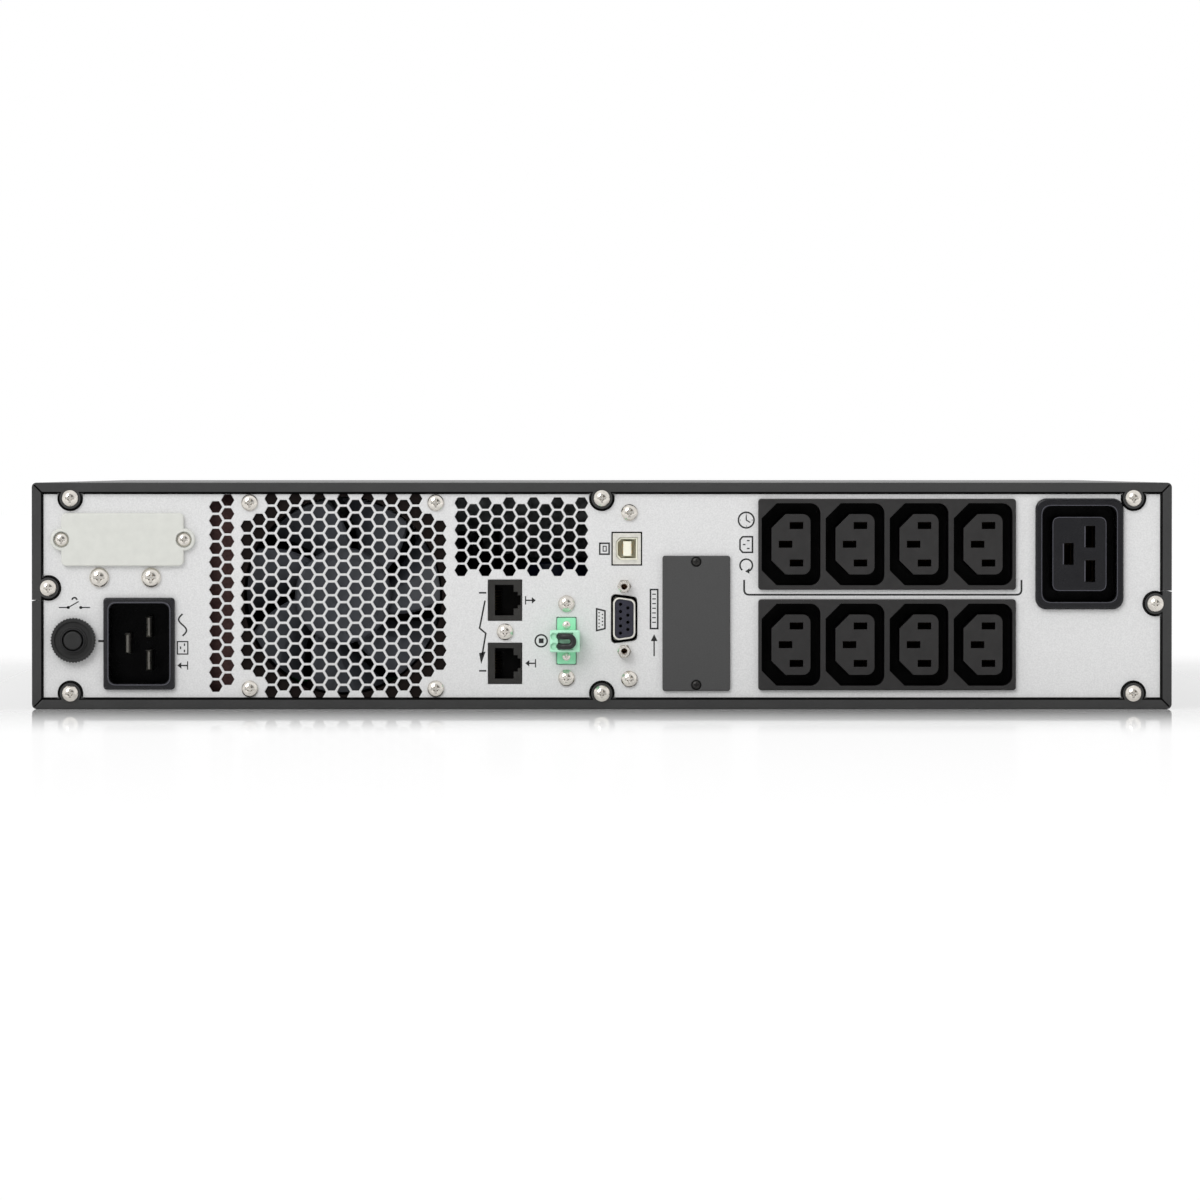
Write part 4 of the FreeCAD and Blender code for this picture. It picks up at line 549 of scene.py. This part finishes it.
def rear_printing(finish):
    """Plain picture symbols beside each rear fitting, and the bracket under the upper outlets."""
    ink = Print(PANEL_Y)
    upper_low, upper_high, _ = span("outlet_block_upper")
    lower_high = span("outlet_block_lower")[1]
    foot = (upper_low.z + lower_high.z) / 2 - 0.1
    left, right, top = upper_low.x - 5.4, upper_high.x + 2.2, foot + 5.7
    bracket = [(left, top), (left, foot), (right, foot), (right, top)]
    ink.line(bent_line(bracket, 2.0), 0.7)

    beside = upper_low.x - 4.6
    timer_symbol(ink, beside, upper_high.z - 8.2)
    outlet_symbol(ink, beside, upper_high.z - 17.6)
    return_symbol(ink, beside, upper_high.z - 25.6)

    inlet_low, inlet_high, inlet = span("inlet_housing")
    beside = inlet_high.x + 2.9
    wave_symbol(ink, beside, inlet.z + 7.2)
    inlet_symbol(ink, beside, inlet.z - 1.6)
    arrow_symbol(ink, beside, inlet.z - 8.4, 180)

    nut = span("breaker_nut")[2]
    dash = nut.z - 0.3
    ink.line([(nut.x + 9.5, dash), (inlet_low.x + 0.4, dash)], 0.8)
    breaker_symbol(ink, nut.x + 0.4, nut.z + 12.6)

    jacks_low, jacks_high, jacks = span("surge_jacks")
    surge_symbol(ink, jacks_low.x - 2.2, jacks.z)
    beside = jacks_high.x + 3.4
    arrow_symbol(ink, beside, jacks_high.z - 7.8, 0)
    arrow_symbol(ink, beside, jacks_low.z + 7.8, 180)

    for node, draw, gap, drop in (
        ("epo_plug", stop_symbol, 3.4, 0),
        ("usb_shell", square_port_symbol, 3.2, 0),
        ("serial_shell", serial_symbol, 2.8, 0.4),
        ("slot_cover", card_symbol, 3.2, 0),
    ):
        low, _, middle = span(node)
        draw(ink, low.x - gap, middle.z - drop)
    ink.done("rear_printing", finish["ink"], "case")


def timer_symbol(ink, x, z):
    ink.ring(x, z, 3.0)
    ink.line([(x, z + 1.9), (x, z), (x + 1.5, z - 0.9)], 0.4)
    for turn in range(0, 360, 90):
        a = math.radians(turn)
        ink.dot(x + 2.3 * math.cos(a), z + 2.3 * math.sin(a), 0.2, 8)


def outlet_symbol(ink, x, z):
    ink.line([
        (x - 1.4, z - 3), (x + 2.4, z - 3), (x + 2.4, z + 3), (x - 1.4, z + 3),
        (x - 2.4, z + 1.8), (x - 2.4, z - 1.8),
    ], closed=True)
    for dx, dz in ((0.8, 1.5), (0.8, -1.5), (-0.8, 0)):
        ink.line([(x + dx - 0.5, z + dz), (x + dx + 0.5, z + dz)], 0.45)


def return_symbol(ink, x, z):
    ink.ring(x, z, 2.4, start=-60, sweep=290, steps=24)
    ink.area([(x + 1.2, z - 3.2), (x + 1.3, z - 1.1), (x - 0.4, z - 2.3)])


def wave_symbol(ink, x, z):
    """One period of a sine, standing upright."""
    steps, length, swing = 24, 8.4, 1.5
    ink.line([
        (x + swing * math.sin(2 * math.pi * k / steps), z + length * (k / steps - 0.5))
        for k in range(steps + 1)
    ])


def inlet_symbol(ink, x, z):
    ink.box(x, z, 4.0, 4.8, 0.45)
    for dx, dz in ((0.7, 1.2), (0.7, -1.2), (-0.8, 0)):
        ink.line([(x + dx, z + dz - 0.5), (x + dx, z + dz + 0.5)], 0.5)


def arrow_symbol(ink, x, z, turn):
    """An arrow into or out of the case: turn 0 points right and 180 points left."""
    a = math.radians(turn)

    def at(u, v):
        return (x + u * math.cos(a) - v * math.sin(a), z + u * math.sin(a) + v * math.cos(a))

    ink.line([at(-1.9, 0), at(0.8, 0)], 0.5)
    ink.area([at(0.5, -1.25), at(2.0, 0), at(0.5, 1.25)])
    ink.line([at(-1.9, -1.6), at(-1.9, 1.6)], 0.4)


def breaker_symbol(ink, x, z):
    """A pole with its trip arm open, between two terminals."""
    ink.line([(x - 6.0, z), (x - 2.4, z), (x + 1.6, z + 2.3)], 0.42)
    ink.line([(x + 2.4, z), (x + 6.0, z)], 0.42)
    ink.dot(x - 2.4, z, 0.6, 12)
    ink.dot(x + 2.4, z, 0.6, 12)
    ink.ring(x, z + 2.9, 0.9, start=0, sweep=180, steps=10)


def surge_symbol(ink, x, z):
    """A long zigzag between two bars."""
    for bar in (z + 15, z - 15):
        ink.line([(x - 1.4, bar), (x + 1.4, bar)])
    ink.line([(x + 0.9, z + 12), (x - 1.2, z + 1.4), (x + 1.2, z - 0.6), (x - 0.2, z - 9)])
    ink.area([(x - 1.4, z - 8.2), (x + 1.1, z - 7.6), (x - 0.6, z - 12.4)])


def stop_symbol(ink, x, z):
    ink.ring(x, z, 2.3)
    ink.fill(x - 0.9, z - 0.9, x + 0.9, z + 0.9)


def square_port_symbol(ink, x, z):
    ink.box(x, z, 3.6, 4.2)
    ink.box(x + 0.1, z, 1.2, 1.9, 0.36)


def serial_symbol(ink, x, z):
    """The tapered outline of the port, with its columns of five and four contacts."""
    ink.line([
        (x - 1.6, z - 4.2), (x + 1.6, z - 3.4), (x + 1.6, z + 3.4), (x - 1.6, z + 4.2),
    ], closed=True)
    for column, contacts in ((-0.65, 5), (0.65, 4)):
        for k in range(contacts):
            ink.dot(x + column, z + 1.35 * (k - (contacts - 1) / 2), 0.28, 10)


def card_symbol(ink, x, z):
    """A circuit card with its edge fingers, and the arrow that slides it in."""
    ink.line([
        (x - 1.4, z - 2), (x + 1.4, z - 2), (x + 1.4, z + 13), (x - 1.4, z + 13),
    ], closed=True)
    for k in range(7):
        finger = z + 0.4 + 1.8 * k
        ink.line([(x - 0.7, finger), (x + 0.7, finger)], 0.4)
    ink.line([(x, z - 12.6), (x, z - 6.4)], 0.5)
    ink.area([(x - 1.3, z - 6.8), (x + 1.3, z - 6.8), (x, z - 4.2)])


# Painted shadows in seams and port gaps -----------------------------------------------------------


def closed_bend(corners, radius):
    """A closed outline with rounded corners that starts halfway along its last side."""
    start = (Vector(corners[-1]) + Vector(corners[0])) / 2
    return bent_line([start, *corners, start], radius)


def tab_arc(middle, radius, inset, facing, steps=18):
    """Points round a screw tab, from where it leaves the rim's edge to where it meets it again."""
    spread = math.acos(-inset / radius)
    centre = Vector(middle)
    turns = [facing + spread * (1 - 2 * k / steps) for k in range(steps + 1)]
    return [centre + Vector((math.cos(a), math.sin(a))) * radius for a in turns]


def rim_path(clear):
    """Outline of the rims and their round tabs, offset outwards over the panel by clear."""
    low, high, _ = span("cover_screws")
    middle = span("rear_panel")[2].z
    head_r, tab_r, tab_x, tab_rise = 3.1, 4.5, 204.3, 3
    radius = tab_r + clear
    side_x, edge_x = high.x - head_r, SIDE_X - RIM - clear
    bottom, top = RIM + clear, TOP_Z - RIM - clear
    lower, upper = low.z + head_r, high.z - head_r
    columns = (-tab_x, 0, tab_x)
    path = [(-edge_x, bottom)]
    for x in columns:
        path += tab_arc((x, lower), radius, lower - bottom, math.pi / 2)
    path.append((edge_x, bottom))
    path += tab_arc((side_x, middle - tab_rise), radius, edge_x - side_x, math.pi)
    path.append((edge_x, top))
    for x in columns[::-1]:
        path += tab_arc((x, upper), radius, top - upper, math.pi * 1.5)
    path.append((-edge_x, top))
    return path + tab_arc((-side_x, middle + tab_rise), radius, edge_x - side_x, 0)


def rim_shadow_lines(finish):
    """Painted shadow lines along the rims' joint with the rear panel, along their cut edge, and in
    their corner mitres.
    """
    stroke = 0.45
    joint = Print(PANEL_Y)
    joint.line(rim_path(stroke / 2), stroke, closed=True)
    joint.done("rim_joint_shadow", finish["shadow"], "case")
    edge = Print(REAR_Y, thick=HAIR)
    edge.line(rim_path(-stroke / 2), stroke, closed=True)
    edge.done("rim_edge_shadow", finish["shadow"], "case")

    mitres = Print(REAR_Y, thick=HAIR)
    middle, corner, slit = TOP_Z / 2, 0.9, 0.55
    for side in (-1, 1):
        for rise in (-1, 1):
            ends = [(side * (SIDE_X - d), middle + rise * (middle - d)) for d in (corner, RIM)]
            mitres.line(ends, slit)
    mitres.done("rim_mitre_shadows", finish["shadow"], "case")


def port_gap_shadows(finish):
    """Painted shadow: black outlines that fill the clearance round the two data ports."""
    gap_shadows = Print(PANEL_Y)
    port = span("usb_shell")[2]
    gap_shadows.box(port.x, port.z, width=11.3, height=12.5, stroke=0.5)
    shell = span("serial_shell")[2]
    wide, tall, taper, corner = 4.65, 9.1, 1.3, 2.2
    outline = [(-wide, -tall), (wide, taper - tall), (wide, tall - taper), (-wide, tall)]
    corners = [(shell.x + x, shell.z + z) for x, z in outline]
    gap_shadows.line(closed_bend(corners, corner), 0.85)
    gap_shadows.done("port_gap_shadows", finish["shadow"], "case")


def painted_edge_highlights(finish):
    """Painted highlights: thin light lines along the mains inlet's lip, and along the large
    outlet's well, its core and the left edges of its slots.
    """
    inlet_low, _, inlet = span("inlet_housing")
    lip = Print(inlet_low.y, thick=HAIR)
    lip.line(rounded_box(inlet, width=23.9, height=31.7, corner=3.2), 0.4)
    lip.done("inlet_lip_highlight", finish["edge_highlight"], "case")

    outlet_low, _, outlet = span("large_outlet_housing")
    well = Print(outlet_low.y, thick=HAIR)
    well.line(rounded_box(outlet, width=29.1, height=37.4, corner=3.8), 0.3)
    well.done("large_outlet_well_highlight", finish["edge_highlight"], "case")

    core_behind, slot_width, slot_half = 0.8, 4.2, 4
    core = Print(outlet_low.y + core_behind, thick=HAIR)
    core.line(rounded_box(outlet, width=20.4, height=28.1, corner=2.6), 0.3)
    for x, rise in ((4.2, 6.6), (4.2, -6.6), (-4.1, 0)):
        left, slot = outlet.x + x - slot_width / 2, outlet.z + rise
        core.line([(left, slot - slot_half), (left, slot + slot_half)], 0.45)
    core.done("large_outlet_core_highlight", finish["edge_highlight"], "case")


def rounded_box(mid, width, height, corner):
    """A closed rectangle with rounded corners about a point."""
    signs = ((-1, -1), (1, -1), (1, 1), (-1, 1))
    corners = [(mid.x + a * width / 2, mid.z + b * height / 2) for a, b in signs]
    return closed_bend(corners, corner)


def add_block(mesh, middle, size):
    """A box of a size about a point."""
    place = Matrix.Translation(middle) @ Matrix.Diagonal((*size, 1))
    bmesh.ops.create_cube(mesh, size=1, matrix=place)


def vent_shade_sheet(finish):
    """A slightly bowed sheet behind the two-column vent, beside the fan; its dim brown is painted
    shade for the dimly lit inside of the case.
    """
    fan_low, fan_high, fan = span("fan_frame")
    width, thick, height = 16, 0.5, fan_high.z - fan_low.z - 2
    beside, behind = 0.8, 8
    bow, wrinkle = 0.5, 0.15
    sheet = bmesh.new()
    middle = (fan_low.x - beside - width / 2, PANEL_Y + behind, fan.z)
    add_block(sheet, middle, (width, thick, height))
    bmesh.ops.subdivide_edges(sheet, edges=sheet.edges, cuts=12, use_grid_fill=True)
    for v in sheet.verts:
        v.co.y += bow * math.cos((v.co.z - fan.z) / 18) + wrinkle * noise.noise(v.co * 0.08)
    piece("vent_shade_sheet", sheet, finish["interior_shade"], "case", smooth=True)


# Fan, front and battery details -------------------------------------------------------------------


def fan_hub_rings(finish):
    """Two low moulded rings and a balance mark on the hub."""
    face = span("fan_rotor")[0].y
    fan = span("fan_frame")[2]
    rings = Print(face, thick=0.1)
    rings.ring(fan.x, fan.z, radius=14.5, width=0.7, steps=64)
    rings.ring(fan.x, fan.z, radius=4.2)
    rings.dot(fan.x + 9.6, fan.z, radius=0.9, steps=16)
    rings.done("fan_hub_rings", finish["fan"], "fan_rotor")


def bridge(mesh, loops):
    """Faces between each loop of vertices and the next."""
    for near, far in zip(loops, loops[1:]):
        for k in range(len(near)):
            n = (k + 1) % len(near)
            mesh.faces.new((near[k], near[n], far[n], far[k]))


def lathe(mesh, x, z, profile, steps=32):
    """Turns (radius, y) points round an axis that runs along Y at x, z."""
    turns = [2 * math.pi * k / steps for k in range(steps)]
    loops = [
        [mesh.verts.new((x + radius * math.cos(a), y, z + radius * math.sin(a))) for a in turns]
        for radius, y in profile
    ]
    bridge(mesh, loops)
    return loops


def port_details(finish):
    """Threads in the two serial jackscrews, and gilt contacts on the tongue of the data port."""
    low, high, mid = span("serial_jackscrews")
    threads = bmesh.new()
    bore, crest, pitch, deep, screw_half = 1.25, 1.02, 0.5, 4.2, 2.77
    half, start = (high.z - low.z) / 2 - screw_half, low.y + 0.2
    for side in (-1, 1):
        profile = [(bore, low.y + 0.15)]
        for k in range(int(deep / pitch)):
            profile += [(crest, start + pitch * (k + 0.4)), (bore, start + pitch * (k + 0.9))]
        loops = lathe(threads, mid.x, mid.z + side * half, profile)
        threads.faces.new(loops[-1])
    bmesh.ops.recalc_face_normals(threads, faces=threads.faces)
    piece("jackscrew_threads", threads, finish["thread"], "case", smooth=True)

    port = span("usb_shell")[2]
    face = span("usb_tongue")[0].y
    strips = bmesh.new()
    for side in (-1, 1):
        for rise in (-1.25, 1.25):
            middle = (port.x + 0.2 + side * 1.68, face + 3.9, port.z + rise)
            add_block(strips, middle, (0.16, 5.4, 1.1))
    bmesh.ops.bevel(strips, geom=strips.edges, offset=0.05, segments=1, affect="EDGES")
    piece("data_port_contacts", strips, finish["gold"], "case")


def display_details(finish):
    """Lit read-out, status lenses, fine ring and key legends on the round display."""
    display_readout(finish)
    _, disc_high, disc = span("display_housing")
    lens_circle, lens_spacing = 30.5, 11
    lenses = {"lit_green": (0,), "unlit": (1, 2, 3)}
    for name, places in lenses.items():
        dots = Print(disc_high.y, looks=1, thick=0.25)
        for n in places:
            a = math.radians(90 + lens_spacing * (1.5 - n))
            x, z = disc.x + lens_circle * math.cos(a), disc.z + lens_circle * math.sin(a)
            dots.dot(x, z, radius=1.1, steps=18)
        dots.done(f"status_{name}", finish[name], "display")
    rim = Print(disc_high.y, looks=1)
    rim.ring(disc.x, disc.z, radius=33.6, width=0.4, steps=96)
    rim.done("display_ring", finish["legend"], "display")
    for node, body, draw in (
        ("mute_button", "mute_key", mute_legend),
        ("select_button", "select_key", select_legend),
        ("power_button", "power_key", power_legend),
    ):
        _, high, key = span(node)
        legend = Print(high.y, looks=1, thick=HAIR)
        draw(legend, key.x, key.z)
        legend.done(f"{node}_legend", finish["ink"], body)


def display_readout(finish):
    """A battery with its cells, two periods of a sine, and a row of rising load bars."""
    _, glass_high, glass = span("display_window")
    x, z = glass.x, glass.z
    marks = Print(glass_high.y, looks=1, thick=0.04)
    marks.box(x - 14, z + 4.5, width=11, height=6.4, stroke=0.5)
    for k in range(4):
        left = x - 18.1 + 2.5 * k
        marks.fill(left, z + 2.4, left + 1.7, z + 6.6)
    steps, length, swing = 36, 18, 3
    marks.line([
        (x + 2 + length * k / steps, z + 4.5 + swing * math.sin(4 * math.pi * k / steps))
        for k in range(steps + 1)
    ], 0.5)
    foot = z - 10
    for k in range(14):
        left, tall = x - 19.6 + 2.85 * k, 1.2 + 0.42 * k
        marks.fill(left, foot, left + 1.9, foot + tall)
    marks.line([(x - 20, z - 0.6), (x + 20, z - 0.6)], 0.3)
    marks.done("display_readout", finish["lit_white"], "display")


def mute_legend(ink, x, z):
    """A loudspeaker with a cross beside it."""
    ink.area([
        (x - 1.8, z - 0.5), (x - 1.0, z - 0.5), (x + 0.1, z - 1.5),
        (x + 0.1, z + 1.5), (x - 1.0, z + 0.5), (x - 1.8, z + 0.5),
    ])
    for rise in (0.8, -0.8):
        ink.line([(x + 0.8, z - rise), (x + 2.0, z + rise)], 0.3)


def select_legend(ink, x, z):
    """Two chevrons that point down."""
    for top in (z + 0.9, z - 0.3):
        ink.line([(x - 1.2, top), (x, top - 1.6), (x + 1.2, top)], 0.35)


def power_legend(ink, x, z):
    """A broken ring with a stroke through its gap."""
    ink.ring(x, z, radius=1.6, width=0.35, start=120, sweep=300, steps=30)
    ink.line([(x, z + 0.3), (x, z + 2.0)], 0.35)


def tube(name, paths, radius, material, body):
    """Round cables along lists of (x, y, z) points, as one piece."""
    data = bpy.data.curves.new(name, "CURVE")
    data.dimensions = "3D"
    data.bevel_depth = radius * MM
    data.bevel_resolution = 4
    data.use_fill_caps = True
    data.resolution_u = 10
    for points in paths:
        spline = data.splines.new("NURBS")
        spline.points.add(len(points) - 1)
        for point, spot in zip(spline.points, points):
            point.co = (*[v * MM for v in spot], 1)
        spline.order_u = 3
        spline.use_endpoint_u = True
    data.materials.append(material)
    item = bpy.data.objects.new(name, data)
    SCENE.collection.objects.link(item)
    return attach(item, body)


def battery_harness(finish):
    """Boots on the battery blades, jumpers in series, and the two leads to the plug."""
    cases_low, cases_high, _ = span("battery_cases")
    blades_low, blades_high, _ = span("battery_terminals")
    _, plug_high, plug = span("battery_plug")
    columns, rows, case_x, case_y = 3, 2, 94, 151
    blade_x, blade_y = 2.6, {"wire": 9, "red_wire": 142}
    pitch_x = (cases_high.x - cases_low.x - case_x) / (columns - 1)
    pitch_y = (cases_high.y - cases_low.y - case_y) / (rows - 1)
    blade_z = (blades_low.z + blades_high.z) / 2
    over, cable_r = cases_high.z + 2.3, 1.7
    ends = {}
    boots = {sign: bmesh.new() for sign in blade_y}
    for column in range(columns):
        for row in range(rows):
            x = cases_low.x + case_x + column * pitch_x + blade_x
            for sign, offset in blade_y.items():
                y = cases_low.y + row * pitch_y + offset
                ends[column, row, sign] = (x, y)
                boot(boots[sign], x, y, blade_z)
    for sign, mesh in boots.items():
        piece(f"terminal_boots_{sign}", mesh, finish[sign], "battery_drawer", smooth=True)

    def drop(key, run):
        """A cable's end: up from a blade, then bent over to run along Y."""
        x, y = ends[key]
        rise = [(x, y, blade_z + 4), (x, y, blade_z + 8)]
        return rise + [(x, y + run * 3, over), (x, y + run * 9, over)]

    jumps = []
    for column in range(columns):
        near, far = drop((column, 0, "red_wire"), 1), drop((column, 1, "wire"), -1)
        jumps.append(near[:3] + far[:3][::-1])
    for column in range(columns - 1):
        start, end = drop((column, 1, "red_wire"), -1), drop((column + 1, 0, "wire"), 1)
        (x0, y0, _), (x1, y1, _) = start[-1], end[-1]
        middle = [(x0 + 14, y0 - 20, over), (x1 - 20, y1 + 18, over)]
        jumps.append(start + middle + end[::-1])
    tube("battery_jumpers", jumps, cable_r, finish["wire"], "battery_drawer")

    back = plug_high.y + 1.4

    def plug_end(side):
        """A lead's last run, down between the batteries and the plug."""
        x = plug.x + side * 8
        return [(x, back + 5, over - 2), (x, back + 1, plug.z + 16), (x, back, plug.z + 4)]

    black = drop((0, 0, "wire"), 1)[:2]
    x, y, _ = black[0]
    black += [(x + 3, y - 4, over), (plug.x - 30, back + 9, over)] + plug_end(-1)
    tube("battery_lead_wire", [black], cable_r, finish["wire"], "battery_drawer")
    red = drop((columns - 1, rows - 1, "red_wire"), -1)
    x, y, _ = red[-1]
    red += [(x - 12, y - 60, over), (x - 40, 60, over), (plug.x + 40, back + 12, over)]
    red += plug_end(1)
    tube("battery_lead_red_wire", [red], cable_r, finish["red_wire"], "battery_drawer")


def boot(mesh, x, y, z):
    """A soft sleeve over a blade terminal: a rounded block that narrows to the cable."""
    rings = (
        (3.9, 2.4, -4.0), (4.3, 2.6, -3.4), (4.3, 2.6, 3.0),
        (3.4, 2.4, 5.0), (2.4, 2.2, 6.4), (2.3, 2.2, 8.4),
    )
    sides, squareness, share = 16, 0.6, 0.92
    loops = []
    for half_y, half_x, rise in rings:
        loop = []
        for k in range(sides):
            a = 2 * math.pi * k / sides
            c, s = math.cos(a), math.sin(a)
            bulge = 1 / max(abs(c), abs(s)) ** squareness
            across, along = half_x * c * bulge * share, half_y * s * bulge * share
            loop.append(mesh.verts.new((x + across, y + along, z + rise)))
        loops.append(loop)
    bridge(mesh, loops)
    mesh.faces.new(loops[0][::-1])
    mesh.faces.new(loops[-1])


def air_filter(finish):
    """Open-cell foam pads behind the louvres of the drawer front."""
    _, high, front = span("drawer_front")
    louvre_x, behind = 104, 5.2
    width, deep, height = 86, 4, 72
    for side, x in (("left", front.x - louvre_x), ("right", front.x + louvre_x)):
        pad = bmesh.new()
        add_block(pad, (x, high.y - behind, front.z), (width, deep, height))
        bmesh.ops.subdivide_edges(pad, edges=pad.edges, cuts=20, use_grid_fill=True)
        for v in pad.verts:
            drift = noise.noise_vector(v.co * 0.35)
            v.co += Vector((0.2 * drift.x, 0.45 * drift.y, 0.2 * drift.z))
        piece(f"air_filter_{side}", pad, finish["foam"], "battery_drawer", smooth=True)


def main():
    camera()
    studio()
    finish = finishes()
    dress_nodes(finish)
    rear_printing(finish)
    fan_hub_rings(finish)
    rim_shadow_lines(finish)
    port_gap_shadows(finish)
    painted_edge_highlights(finish)
    vent_shade_sheet(finish)
    port_details(finish)
    display_details(finish)
    battery_harness(finish)
    air_filter(finish)


main()
